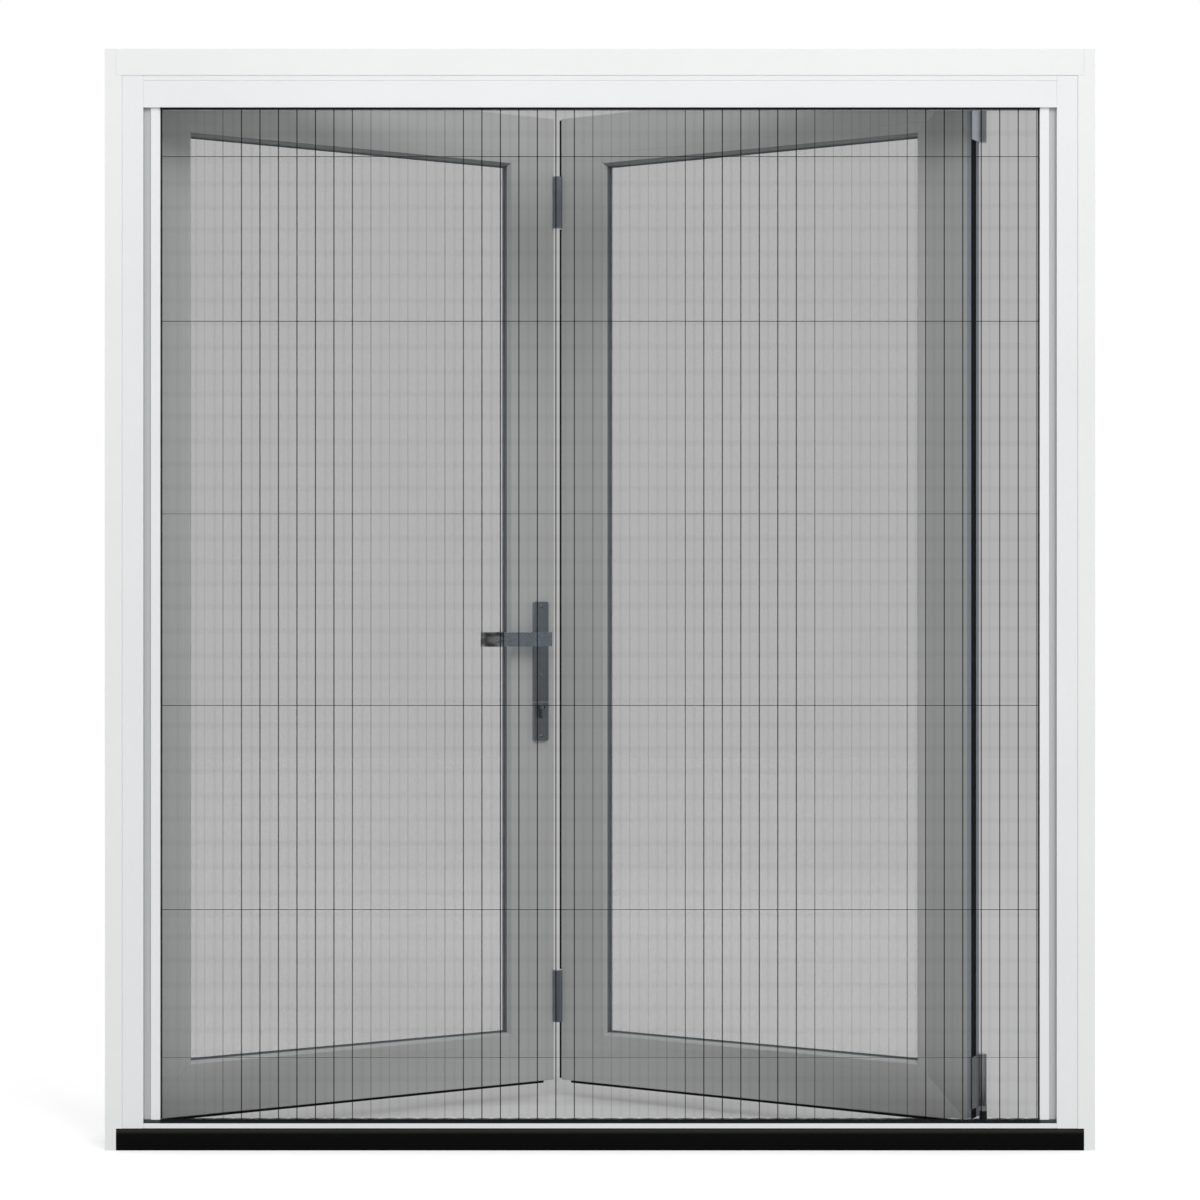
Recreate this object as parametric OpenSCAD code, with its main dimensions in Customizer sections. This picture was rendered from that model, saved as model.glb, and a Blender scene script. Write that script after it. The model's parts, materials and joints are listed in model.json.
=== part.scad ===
// Two-leaf folding glass door in its frame, with a pleated insect screen on the room side.
// Millimetres, +X to the right seen from the room, +Y out of doors, +Z up.
// The origin is on the underside of the sill, in the middle of the frame's width and depth.

/* [Frame] */
// Outer width of the frame's front
frame_w = 1966; // [1800:1:2200]
// Height of the frame
frame_h = 2187; // [2000:1:2400]
// Depth of the frame
frame_depth = 184; // [180:1:210]
// Width of a jamb's front face
jamb_face = 34; // [30:1:44]
// Height of the head's front face
head_face = 52.5; // [48:0.5:64]
// Height of the sill's front upstand
sill_face = 43.5; // [40:0.5:52]
// Height of the head behind the stop
head_back = 28; // [26:0.5:36]
// Height of the sill behind the stop
sill_back = 31; // [29:0.5:36]
// Depth from the front of the frame to the stop that the leaves close against
stop_depth = 82; // [78:0.5:90]
// How deep the head and the sill are let into the jambs
housing = 12; // [8:1:18]
// How far the frame's back part stands out beyond its front part
flange_out = 14; // [10:1:16]
// Depth at which that wider back part begins
flange_depth = 98; // [94:1:110]
// Radius of the sill's front top edge
sill_nosing = 10; // [4:1:14]
// How far the sill runs out behind the frame
sill_drip = 12; // [6:1:30]
// Wall of the frame's hollow profiles
frame_wall = 3.5; // [2.5:0.5:5]
// Radius of the wall fixing holes
fixing_r = 4.25; // [3:0.25:5]
// Distance between the outer pair of wall fixings on each jamb
fixing_outer = 1700; // [1500:10:1800]
// Distance between the inner pair of wall fixings on each jamb
fixing_inner = 600; // [400:10:900]

/* [Leaves] */
// Angle of the leaves from closed, as stored
fold_angle = 30; // [5:1:60]
// Thickness of a leaf
leaf_t = 68; // [66:0.5:76]
// Visible width of a leaf's stiles and rails, glazing bead included
member_w = 106.5; // [100:0.5:120]
// Width of the stile or rail as far as the glazing rebate
rebate_w = 86; // [80:0.5:92]
// Wall of the leaves' hollow profiles
leaf_wall = 3; // [2:0.5:3.5]
// Thickness of a leaf's inner shell, in front of the dark insulating strip
shell_in = 24; // [22:0.5:28]
// Thickness of the dark insulating strip between the shells
break_t = 27; // [25:0.5:30]
// Depth of the groove that holds the insulating strip
break_depth = 6; // [4:0.5:8]
// Gap between the leaf's top and the head
leaf_drop = 4.4; // [3:0.2:7]
// Gap between the leaf's bottom and the sill
leaf_lift = 8.6; // [8:0.2:12]
// Gap between the closed leaves and the stop
stop_gap = 2.5; // [2:0.1:4]
// Edge bevel of the stiles and rails
edge_bevel = 1.5; // [0.5:0.5:3]

/* [Glazing] */
// Depth of the glass behind the leaf's inner face
glass_depth = 25; // [23:0.5:27]
// Thickness of one pane
pane_t = 4; // [3:1:6]
// Gap between the panes
pane_gap = 20; // [16:1:22]
// Width of the glazing bead's bevel
bead_bevel = 5; // [3:0.5:8]
// Depth of the glazing bead's bevel
bead_bevel_depth = 9; // [6:0.5:14]
// Thickness of the gasket on the room side of the glass
gasket_in = 4; // [3:0.5:5]
// Thickness of the gasket on the outer side of the glass
gasket_out = 3; // [2:0.5:4]
// How far the inner gasket stands beyond the bead
gasket_show = 2.4; // [1:0.2:4]
// How far the outer sight line lies behind the inner one
lip_back = 10.5; // [8:0.5:12]

/* [Hinges] */
// Jamb hinge axis, outwards from the jamb's inner face
jamb_axis_in = 22; // [20:0.5:24]
// Carriage axis at closing, outwards from the jamb's inner face
lead_axis_in = 11; // [9:0.5:13]
// Hinge axes behind the leaves' outer faces
axis_out = 10; // [10:0.5:11.5]
// Hinge axes off the leaves' edges
leaf_gap = 4; // [3.6:0.1:5]
// Gap between the closed leaves at the fold
fold_gap = 13; // [12:0.5:15]
// Fold axis in front of the leaves' inner faces
fold_front = 4.5; // [3.5:0.5:6]
// Height of a jamb hinge and of a carriage hinge
hinge_h = 106; // [90:1:130]
// Distance of those hinges from the leaf's ends
hinge_end = 20.5; // [16:0.5:60]
// Radius of their knuckles
knuckle_r = 8.5; // [7.5:0.5:9]
// Height of a fold hinge
fold_hinge_h = 113; // [90:1:140]
// Distance of the fold hinges from the leaf's ends
fold_hinge_end = 128; // [110:1:220]
// Radius of the fold hinge's knuckle
fold_knuckle_r = 10; // [8.5:0.5:11]
// Radius of the hinge pins
pin_r = 4; // [3:0.5:5]
// Thickness of the hinge plates
plate_t = 3; // [2:0.1:3.2]

/* [Track] */
// Inner width of the sill track
track_w = 22; // [20:0.5:24]
// Inner depth of the sill track
track_d = 17; // [16:0.5:19]
// Wall of the sill track and of the head's guide channel
track_wall = 2; // [1.5:0.1:2.5]
// Inner width of the guide channel in the head
guide_w = 20; // [19:0.5:22]
// Inner depth of the guide channel
guide_d = 16; // [15:0.5:18]
// Radius of the carriage wheels
wheel_r = 8; // [7:0.25:8]
// Width of the carriage wheels
wheel_w = 8; // [6:0.5:9]
// Distance between the wheel axles
wheel_base = 36; // [24:1:60]
// Radius of the guide roller
roller_r = 9; // [8:0.25:9]
// Radius of the carriage pivot and of the guide pin
pivot_r = 5; // [4:0.25:5.5]

/* [Handle] */
// Height of the lever's spindle above the floor
spindle_z = 1009.5; // [950:0.5:1060]
// Spindle, inwards from the leaf's fold edge
backset = 36; // [32:0.5:40]
// Width of the handle's backplate
backplate_w = 35; // [33:0.5:40]
// Backplate above the spindle
backplate_up = 82; // [70:1:110]
// Backplate below the spindle
backplate_down = 223; // [200:1:240]
// Thickness of the backplate
backplate_t = 9; // [6:0.5:10]
// Length of the lever from the spindle
lever_l = 149; // [110:1:160]
// Length of the outer lever from the spindle
outer_lever_l = 96; // [90:1:130]
// Height of the lever bar
lever_h = 31; // [24:0.5:34]
// Thickness of the lever bar
lever_t = 10; // [7:0.5:12]
// Face of the lever bar in front of the leaf
lever_out = 43; // [42:0.5:46]
// Inner radius of the lever's return bend
lever_bend = 21; // [14:0.5:21]
// Lock cylinder below the spindle
cylinder_drop = 148; // [120:1:160]
// Throw of the shoot bolts
bolt_throw = 20; // [16:0.5:24]
// Radius of the shoot bolts
bolt_r = 5; // [4:0.25:6]

/* [Screen] */
// Visible width of the screen's side profiles
screen_side = 42; // [36:1:50]
// Height of the screen's head cassette
cassette_h = 63.5; // [56:0.5:80]
// Depth of the screen's profiles
screen_depth = 36.5; // [34:0.5:40]
// How far the screen sits back from the front of the frame
screen_back = 1.5; // [0:0.5:2]
// Visible width of the screen's bars
bar_w = 19; // [16:0.5:26]
// Clear strip between a side profile and its bar
bar_gap = 14; // [10:0.5:18]
// Distance between neighbouring pleats
pleat_pitch = 36.8; // [24:0.2:48]
// Depth of the pleats
pleat_d = 16; // [10:0.5:18]
// Thickness of the mesh
mesh_t = 0.8; // [0.4:0.1:1.2]
// Radius of the guide cords
cord_r = 0.6; // [0.4:0.1:1]
// Heights of the guide cords, as shares of the mesh's height
cord_share = [0.06, 0.2055, 0.4065, 0.595, 0.7845, 0.9465];
// Height of the screen's bottom track
floor_track_h = 10; // [8:0.5:12]

/* [Hidden] */
$fn = 48;
cut = 1;            // how far a cutter runs past the face it opens
touch = 0.3;        // running gap between pieces that move past each other
pin_fit = 0.05;     // radial clearance of a pin in its knuckle
loose = 0.4;        // clearance of a fixed piece in its cut-out
hairline = 0.1;     // half of the joint between mitred beads
seam = 0.2;         // joint between profiles that are set side by side

front = -frame_depth / 2;
back = frame_depth / 2;
half_w = frame_w / 2;
inner_x = half_w - jamb_face;
end_x = inner_x + housing;
back_x = half_w + 2;
drip_h = 12;
head_z = frame_h - head_face;
guide_z = frame_h - head_back;
stop_y = front + stop_depth;
leaf_y = stop_y + stop_gap;
axis_y = leaf_y + leaf_t + axis_out;

// The leaves fold as two equal sides of a triangle, with the axes at its corners
jamb_axis_x = -(inner_x + jamb_axis_in);
closed_axis_x = inner_x + lead_axis_in;
reach = (closed_axis_x - jamb_axis_x) / 2;
leaf_w = reach - leaf_gap - fold_gap / 2;
axis_shift = axis_out + leaf_t + fold_front;
half_span = reach * cos(fold_angle) + axis_shift * sin(fold_angle);
overrun = 2 * (norm([reach, axis_shift]) - reach);      // of the carriage, past its closed place
lead_axis_x = jamb_axis_x + 2 * half_span;
leaf_z = sill_back + leaf_lift;
leaf_h = guide_z - leaf_drop - leaf_z;

shell_out_t = shell_in + break_t;
lip_t = glass_depth + 2 * pane_t + pane_gap + gasket_out;
lip_w = member_w - lip_back;
lip_bevel = 6;
bead_t = glass_depth - gasket_in;
bead_edge = member_w + bead_bevel + 0.6;
glass_edge = rebate_w + 2;
spacer_edge = glass_edge + 2;
spacer_w = 8;
gasket_edge = bead_edge - 9;
mitre = member_w + 30;
seal_out = 4.6;
sweep_h = leaf_lift - 3.4;

hinge_low = hinge_end;
hinge_high = leaf_h - hinge_end - hinge_h;
hinge_mid = (leaf_h - hinge_h) / 2;
fold_low = fold_hinge_end;
fold_high = leaf_h - fold_hinge_end - fold_hinge_h;
knuckle_end = 1 / 3;            // share of a hinge's height in each end knuckle
plate_reach = 46;
fold_plate_t = 2.5;
fold_plate_in = 8;
fold_plate_reach = 38;
jamb_pocket = knuckle_r + 3.5;
seat_gap = 2;

bolt_t = shell_in + break_t / 2;
spindle_h = spindle_z - leaf_z;
spindle_u = leaf_w - backset;
cylinder_h = spindle_h - cylinder_drop;
cylinder_out = backplate_t + 13;
neck_r = 8;
lever_past = neck_r + 0.5;
lever_clear = 6;
spindle_s = 8;
case_t = break_t - 7;
case_w = 57;
case_up = 76;
case_down = 230;
case_face = 3;
bolt_in = bolt_throw + 25;
bolt_stand = 4;
screw_r = 2.1;
screw_head_r = 4.2;
screw_in = 11;
screw_mid = 78;
screw_z = [for (h = [backplate_up - screw_in, -screw_mid, -backplate_down + screw_in]) spindle_h + h];
keep_l = 44;
keep_w = 26;
keep_t = 1.8;

track_z = sill_back - track_d;
block_w = track_w - 4;
block_h = sill_back - track_z - 3;
block_front = 12;
block_rear = 34;
block_l = block_front + wheel_base + block_rear;
axle_r = 2.5;
axle_z = track_z + touch + wheel_r;
axle_x = [-20, -20 - wheel_base];
shoulder_r = 8;
lead_pocket = block_front + 4;
roller_h = guide_d - 5;
roller_z = guide_z + 2;

screen_y = front + screen_back;
screen_rear = screen_y + screen_depth;
screen_x = inner_x - screen_side;
cassette_z = head_z - cassette_h;
floor_top = sill_face + floor_track_h;
channel_wall = 4.5;
channel_y = screen_y + channel_wall;
channel_rear = screen_rear - channel_wall;
channel_top = head_z - 14;
channel_floor = sill_face + 3;
bar_out = screen_x - bar_gap;
bar_in = bar_out - bar_w;
bar_y = channel_y + 1;
bar_rear = channel_rear - 1;
bar_z = floor_top + 6;
bar_top = cassette_z + 14;
slot_depth = 4;
slot_wall = 3;
tongue_in = 4;
socket_depth = 20;
mesh_x = bar_in + slot_depth - touch;
mesh_z = bar_z + touch;
mesh_top = bar_top - touch;
mesh_y = (screen_y + screen_rear) / 2;
fold_x = bar_in - 5;
brush_w = 3.5;
brush_h = [8.5, 4.5];

white = [0.92, 0.93, 0.93];
dark = [0.06, 0.065, 0.065];
steel = [0.62, 0.64, 0.66];
glass_tint = [0.80, 0.86, 0.86, 0.35];

// A box from its lowest to its highest corner
module span(low, high) {
    translate(low) cube(high - low);
}

// A cylinder that stands on a point
module post(at, r, h) {
    translate(at) cylinder(r = r, h = h);
}

// A cylinder along +Y
module rod_y(at, r, h) {
    translate(at) rotate([-90, 0, 0]) cylinder(r = r, h = h);
}

// A section drawn as depth and height, run along X to both sides of the middle
module run_x(half) {
    translate([-half, 0, 0]) rotate([90, 0, 90]) linear_extrude(2 * half) children();
}

// A rectangle with round corners, centred
module round_rect(w, h, r) {
    square([w - 2 * r, h], center = true);
    square([w, h - 2 * r], center = true);
    for (sx = [-1, 1], sy = [-1, 1])
        translate([sx * (w / 2 - r), sy * (h / 2 - r)]) circle(r);
}

// The space that the head takes in the jambs
module head_blank(m = 0) {
    span([-end_x, front - m, head_z], [end_x, stop_y, frame_h + m]);
    span([-back_x, stop_y, guide_z], [back_x, back + m, frame_h + m]);
}

// The space that the sill takes in the jambs
module sill_blank(m = 0) {
    span([-end_x, front - m, -m], [end_x, stop_y, sill_face]);
    span([-back_x, stop_y, -m], [back_x, back + m, sill_back]);
}

// One jamb, on the +X side: a hollow front, a stop, and a pocket for the hinge or the carriage
module jamb(axis_in, pocket) {
    seat = axis_in + seat_gap;
    room = axis_in + pocket;
    pocket_depth = axis_y - front - pocket - seat_gap;
    difference() {
        translate([inner_x, front, 0]) linear_extrude(frame_h)
            polygon([[0, 0], [jamb_face, 0], [jamb_face, flange_depth],
                [jamb_face + flange_out, flange_depth], [jamb_face + flange_out, frame_depth],
                [room, frame_depth], [room, pocket_depth], [seat, pocket_depth],
                [seat, stop_depth], [0, stop_depth]]);
        span([inner_x + frame_wall, front + frame_wall, frame_wall],
            [half_w - frame_wall, stop_y - frame_wall, frame_h - frame_wall]);
        head_blank(cut);
        sill_blank(cut);
        for (z = [-fixing_outer, -fixing_inner, fixing_inner, fixing_outer] / 2)
            translate([inner_x + seat, (stop_y + front + pocket_depth) / 2, frame_h / 2 + z])
                rotate([0, 90, 0]) {
                    translate([0, 0, -cut]) cylinder(r = fixing_r, h = jamb_face + flange_out + 2 * cut);
                    translate([0, 0, -cut]) cylinder(r = 2 * fixing_r, h = 6 + cut);
                }
    }
}

module left_jamb() {
    color(white) mirror([1, 0, 0]) jamb(jamb_axis_in, jamb_pocket);
}

module right_jamb() {
    color(white) jamb(lead_axis_in + overrun, lead_pocket);
}

// Where the shoot bolts meet the head and the sill when the door is closed
bolt_x = jamb_axis_x + leaf_gap + spindle_u;
bolt_y = leaf_y + bolt_t;

// The head's four profiles: a hollow front, the soffit over the leaves, the guide's bed, and the back strip
module head() {
    guide_front = axis_y - guide_w / 2 - track_wall;
    guide_rear = axis_y + guide_w / 2 + track_wall;
    color(white) {
        difference() {
            span([-end_x, front, head_z], [end_x, stop_y, frame_h]);
            run_x(end_x + cut) translate([front + frame_wall, head_z + frame_wall])
                square([stop_depth - 2 * frame_wall, head_face - 2 * frame_wall]);
        }
        difference() {
            span([-back_x, stop_y + seam, guide_z], [back_x, guide_front, frame_h]);
            post([bolt_x, bolt_y, guide_z - cut], bolt_r + 1, bolt_throw + cut);
        }
        span([-back_x, guide_front + seam, guide_z + guide_d + track_wall],
            [back_x, guide_rear - seam, frame_h]);
        span([-back_x, guide_rear, guide_z], [back_x, back, frame_h]);
    }
}

// The sill's four profiles: a hollow front with a round nose, the tread, the track's bed, and the drip edge
module sill() {
    track_front = axis_y - track_w / 2 - track_wall;
    track_rear = axis_y + track_w / 2 + track_wall;
    color(dark) {
        difference() {
            run_x(end_x) translate([front, 0]) {
                translate([sill_nosing, 0]) square([stop_depth - sill_nosing, sill_face]);
                square([stop_depth, sill_face - sill_nosing]);
                translate([sill_nosing, sill_face - sill_nosing]) circle(sill_nosing);
            }
            run_x(end_x + cut) translate([front + frame_wall, frame_wall])
                square([stop_depth - 2 * frame_wall, sill_face - sill_nosing - frame_wall]);
        }
        difference() {
            span([-back_x, stop_y + seam, 0], [back_x, track_front, sill_back]);
            post([bolt_x, bolt_y, sill_back - bolt_throw + leaf_lift / 2], bolt_r + 1, bolt_throw);
        }
        span([-back_x, track_front + seam, 0], [back_x, track_rear - seam, track_z - track_wall]);
        run_x(back_x) polygon([[track_rear, 0], [back + sill_drip, 0], [back + sill_drip, sill_back - drip_h],
            [back, sill_back - 3], [track_rear, sill_back]]);
    }
}

// A U-shaped rail, open upwards, lying along X
module rail(half, inner_w, inner_d) {
    run_x(half) difference() {
        translate([-inner_w / 2 - track_wall, -track_wall])
            square([inner_w + 2 * track_wall, inner_d + track_wall]);
        translate([-inner_w / 2, 0]) square([inner_w, inner_d + cut]);
    }
}

module sill_track() {
    color(steel) translate([0, axis_y, track_z]) rail(back_x, track_w, track_d);
}

module head_guide() {
    color(steel) translate([0, axis_y, guide_z + guide_d]) mirror([0, 0, 1]) rail(back_x, guide_w, guide_d);
}

// Rubber strips on the stops of the jambs and the head
module frame_seals() {
    strip = 8;
    low = leaf_z + 6;
    high = head_z + 12;
    color(dark) {
        for (side = [-1, 1])
            translate([side * (inner_x + strip / 2), 0, 0])
                span([-strip / 2 + 1, stop_y, low], [strip / 2, stop_y + stop_gap - touch, high]);
        span([-inner_x, stop_y, high - strip], [inner_x, stop_y + stop_gap - touch, high]);
    }
}

// A keep plate with the shoot bolt's hole
module keep(z) {
    difference() {
        translate([bolt_x, bolt_y, z]) linear_extrude(keep_t) round_rect(keep_l, keep_w, 4);
        post([bolt_x, bolt_y, z - cut], bolt_r + 1, keep_t + 2 * cut);
    }
}

module bolt_keeps() {
    color(steel) {
        keep(sill_back);
        keep(guide_z - keep_t);
    }
}

// Knuckles with a pin hole: a pair at the ends, or the one between them
module knuckles(at, r, h, ends, bore_r) {
    share = h * knuckle_end;
    spans = ends ? [[0, share], [h - share, h]] : [[share + touch, h - share - touch]];
    for (s = spans)
        difference() {
            post(at + [0, 0, s[0]], r, s[1] - s[0]);
            post(at + [0, 0, s[0] - cut], bore_r + pin_fit, s[1] - s[0] + 2 * cut);
        }
}

jamb_hinges = [for (h = [hinge_low, hinge_mid, hinge_high]) leaf_z + h];

module frame_hinge_leaves() {
    seat_x = jamb_axis_x - jamb_pocket;
    share = hinge_h * knuckle_end;
    color(white) for (z = jamb_hinges) {
        span([seat_x, axis_y - knuckle_r, z], [seat_x + plate_t, back - 6, z + hinge_h]);
        for (s = [0, hinge_h - share])
            span([seat_x + plate_t - 0.5, axis_y - 3, z + s],
                [jamb_axis_x - pin_r - 1, axis_y + 3, z + s + share]);
        knuckles([jamb_axis_x, axis_y, z], knuckle_r, hinge_h, true, pin_r);
    }
}

module frame_hinge_pins() {
    color(steel) for (z = jamb_hinges) {
        post([jamb_axis_x, axis_y, z], pin_r, hinge_h);
        post([jamb_axis_x, axis_y, z + hinge_h], pin_r + 2, 3);
    }
}

// A side profile of the screen on the +X side, open towards the mesh
module screen_profile() {
    color(white) difference() {
        span([screen_x, screen_y, sill_face], [inner_x, screen_rear, head_z]);
        span([screen_x - cut, channel_y, sill_face - cut],
            [screen_x + socket_depth, channel_rear, head_z + cut]);
        span([screen_x + socket_depth + frame_wall, channel_y, sill_face - cut],
            [inner_x - frame_wall, channel_rear, head_z + cut]);
    }
}

module screen_left_profile() {
    mirror([1, 0, 0]) screen_profile();
}

module screen_right_profile() {
    screen_profile();
}

module screen_cassette() {
    joint_z = head_z - 11.5;
    color(white) difference() {
        span([-screen_x, screen_y, cassette_z], [screen_x, screen_rear, head_z]);
        span([-screen_x - cut, channel_y, cassette_z - cut], [screen_x + cut, channel_rear, channel_top]);
        span([-screen_x - cut, screen_y - cut, joint_z], [screen_x + cut, screen_y + 1.2, joint_z + 1.6]);
    }
}

module screen_floor_track() {
    color(white) difference() {
        span([-screen_x, screen_y, sill_face], [screen_x, screen_rear, floor_top]);
        span([-screen_x - cut, channel_y, channel_floor], [screen_x + cut, channel_rear, floor_top + cut]);
    }
}

// Pile brushes along the cassette's and the bottom track's front walls
module screen_brushes() {
    y = screen_y + 0.5;
    color(dark) {
        span([-bar_in, y, floor_top], [bar_in, y + brush_w, floor_top + brush_h[0]]);
        span([-bar_in, y, cassette_z - brush_h[1]], [bar_in, y + brush_w, cassette_z]);
    }
}

// One bar of the screen on the +X side: a slot for the mesh, and a tongue that enters the side profile
module bar(tongue_gap) {
    difference() {
        union() {
            span([bar_in, bar_y, bar_z], [bar_out, bar_rear, bar_top]);
            span([bar_out - 1, bar_y + tongue_in, bar_z],
                [screen_x + socket_depth - tongue_gap, bar_rear - tongue_in, bar_top]);
        }
        span([bar_in - cut, bar_y + slot_wall, bar_z - cut],
            [bar_in + slot_depth, bar_rear - slot_wall, bar_top + cut]);
    }
}

// The feet of a bar, in the bottom track and in the cassette
module bar_feet(lift) {
    top_gap = 4;
    for (z = [[channel_floor + lift, bar_z], [bar_top, channel_top - top_gap]])
        span([bar_in, bar_y + 1, z[0]], [screen_x - 1, bar_rear - 1, z[1]]);
}

module screen_fixed_bar() {
    color(white) mirror([1, 0, 0]) bar(0);
}

module screen_fixed_feet() {
    color(dark) mirror([1, 0, 0]) bar_feet(0);
}

module screen_pull_bar() {
    color(white) bar(1);
}

module screen_pull_feet() {
    color(dark) bar_feet(touch);
}

// The pleats run from the pull bar to the fixed bar, with a last part pleat in the fixed bar's slot
pleat_n = floor((fold_x + mesh_x) / (pleat_pitch / 2));
pleat_rest = (fold_x + mesh_x) / (pleat_pitch / 2) - pleat_n;
function pleat_y(i) = mesh_y + (i % 2 == 0 ? -1 : 1) * pleat_d / 2;
pleat_line = concat([[mesh_x, mesh_y]],
    [for (i = [0 : pleat_n]) [fold_x - i * pleat_pitch / 2, pleat_y(i)]],
    [[-mesh_x, pleat_y(pleat_n) + pleat_rest * (pleat_y(pleat_n + 1) - pleat_y(pleat_n))]]);

module screen_mesh() {
    last = len(pleat_line) - 1;
    color([0.1, 0.1, 0.1, 0.6]) translate([0, 0, mesh_z]) linear_extrude(mesh_top - mesh_z)
        polygon(concat(pleat_line, [for (i = [last : -1 : 0]) pleat_line[i] + [0, mesh_t]]));
}

module screen_cords() {
    color(dark) for (share = cord_share)
        translate([-mesh_x, mesh_y + mesh_t / 2, mesh_z + share * (mesh_top - mesh_z)])
            rotate([0, 90, 0]) cylinder(r = cord_r, h = 2 * mesh_x);
}

// The jamb leaf's own space: 0 at the hinge edge, the inner face and the bottom
module in_jamb_leaf() {
    translate([jamb_axis_x, axis_y, leaf_z]) rotate([0, 0, fold_angle])
        translate([leaf_gap, -(axis_out + leaf_t), 0]) children();
}

// The lead leaf's own space: 0 at the closing edge, the inner face and the bottom
module in_lead_leaf() {
    translate([lead_axis_x, axis_y, leaf_z]) rotate([0, 0, -fold_angle]) mirror([1, 0, 0])
        translate([leaf_gap, -(axis_out + leaf_t), 0]) children();
}

// Section of a stile or rail: distance from the leaf's edge, then depth from its inner face
module member_section() {
    chamber_out = rebate_w - leaf_wall;
    difference() {
        polygon([[0, edge_bevel], [edge_bevel, 0], [rebate_w, 0], [rebate_w, lip_t], [lip_w, lip_t],
            [lip_w, leaf_t - lip_bevel], [lip_w - lip_bevel, leaf_t],
            [edge_bevel, leaf_t], [0, leaf_t - edge_bevel],
            [0, shell_out_t], [break_depth, shell_out_t], [break_depth, shell_in], [0, shell_in]]);
        translate([leaf_wall, leaf_wall])
            square([chamber_out - leaf_wall, shell_in - 2 * leaf_wall]);
        translate([break_depth + leaf_wall, shell_in])
            square([chamber_out - break_depth - leaf_wall, break_t]);
        translate([leaf_wall, shell_out_t + leaf_wall])
            square([chamber_out - leaf_wall, leaf_t - shell_out_t - 2 * leaf_wall]);
    }
}

// Section of the glazing bead, which closes the rebate on the room side
module bead_section() {
    polygon([[rebate_w, 0], [member_w - 0.8, 0], [member_w, 0.8],
        [member_w + bead_bevel, bead_bevel_depth], [bead_edge, bead_t], [rebate_w, bead_t]]);
}

// The four sides of a leaf with their mitred ends
HINGE = 0;
FOLD = 1;
BOTTOM = 2;
TOP = 3;

function mitre_outline(side, j) =
    side == HINGE ? [[0, j], [mitre, mitre + j], [mitre, leaf_h - mitre - j], [0, leaf_h - j]] :
    side == FOLD ? [for (p = mitre_outline(HINGE, j)) [leaf_w - p[0], p[1]]] :
    side == BOTTOM ? [[j, 0], [leaf_w - j, 0], [leaf_w - mitre - j, mitre], [mitre + j, mitre]] :
    [for (p = mitre_outline(BOTTOM, j)) [p[0], leaf_h - p[1]]];

// A section run along one side of the leaf and cut to its mitres, less a hairline joint
module side_run(side, joint = 0) {
    intersection() {
        if (side == HINGE)
            linear_extrude(leaf_h) children();
        else if (side == FOLD)
            translate([leaf_w, 0, 0]) mirror([1, 0, 0]) linear_extrude(leaf_h) children();
        else if (side == BOTTOM)
            rotate([90, 0, 90]) linear_extrude(leaf_w) mirror([1, -1, 0]) children();
        else
            translate([0, 0, leaf_h]) mirror([0, 0, 1])
                rotate([90, 0, 90]) linear_extrude(leaf_w) mirror([1, -1, 0]) children();
        translate([0, leaf_t + cut, 0]) rotate([90, 0, 0]) linear_extrude(leaf_t + 2 * cut)
            polygon(mitre_outline(side, joint));
    }
}

// A flat ring that follows the leaf's outline between two distances from its edge
module leaf_ring(outer, inner, t0, t1) {
    difference() {
        span([outer, t0, outer], [leaf_w - outer, t1, leaf_h - outer]);
        span([inner, t0 - cut, inner], [leaf_w - inner, t1 + cut, leaf_h - inner]);
    }
}

// Room for the fold hinge's knuckles in the corner of a fold stile
module fold_notches() {
    for (z = [fold_low, fold_high])
        post([leaf_w + fold_gap / 2, -fold_front, z - cut], fold_knuckle_r + 0.6, fold_hinge_h + 2 * cut);
}

// Outline of the lock cylinder, with its round top on the origin
module cylinder_outline(gap) {
    circle(8.5 + gap);
    translate([-5 - gap, -20]) square([10 + 2 * gap, 20]);
    translate([0, -20]) circle(5 + gap);
}

// A shape drawn in width and height, run through the leaf's depth from t0 to t1
module through(u, z, t0, t1) {
    translate([u, t1, z]) rotate([90, 0, 0]) linear_extrude(t1 - t0) children();
}

// All that is cut through the fold stile for the handle and its lock
module handle_cuts() {
    rod_y([spindle_u, -cut, spindle_h], 7, leaf_t + 2 * cut);
    through(spindle_u, cylinder_h, -cut, leaf_t + cut) cylinder_outline(loose);
    for (z = screw_z)
        rod_y([spindle_u, -cut, z], screw_r, leaf_t + 2 * cut);
    lock_room(loose);
}

// The space of the lock case behind its face plate, and of the face plate itself
module lock_room(gap) {
    mid = bolt_t;
    span([leaf_w - case_face - case_w - gap, mid - case_t / 2 - gap, spindle_h - case_down - gap],
        [leaf_w - case_face + cut, mid + case_t / 2 + gap, spindle_h + case_up + gap]);
    span([leaf_w - case_face, mid - case_t / 2 - 1 - gap, spindle_h - case_down - 12 - gap],
        [leaf_w + cut, mid + case_t / 2 + 1 + gap, spindle_h + case_up + 12 + gap]);
}

module jamb_leaf_hinge_stile() {
    color(white) in_jamb_leaf() side_run(HINGE) member_section();
}

module jamb_leaf_fold_stile() {
    color(white) in_jamb_leaf() difference() {
        side_run(FOLD) member_section();
        fold_notches();
        handle_cuts();
    }
}

// Hole for a shoot bolt through a rail's outer wall and the insulating strip
module bolt_hole(z) {
    post([spindle_u, bolt_t, z], bolt_r + 0.5, break_depth + leaf_wall + 2 * cut);
}

module jamb_leaf_top_rail() {
    color(white) in_jamb_leaf() difference() {
        side_run(TOP) member_section();
        bolt_hole(leaf_h - break_depth - leaf_wall - cut);
    }
}

module jamb_leaf_bottom_rail() {
    color(white) in_jamb_leaf() difference() {
        side_run(BOTTOM) member_section();
        bolt_hole(-cut);
    }
}

// Four mitred glazing beads
module beads() {
    color(white) for (side = [HINGE, FOLD, BOTTOM, TOP])
        side_run(side, hairline) bead_section();
}

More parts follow.
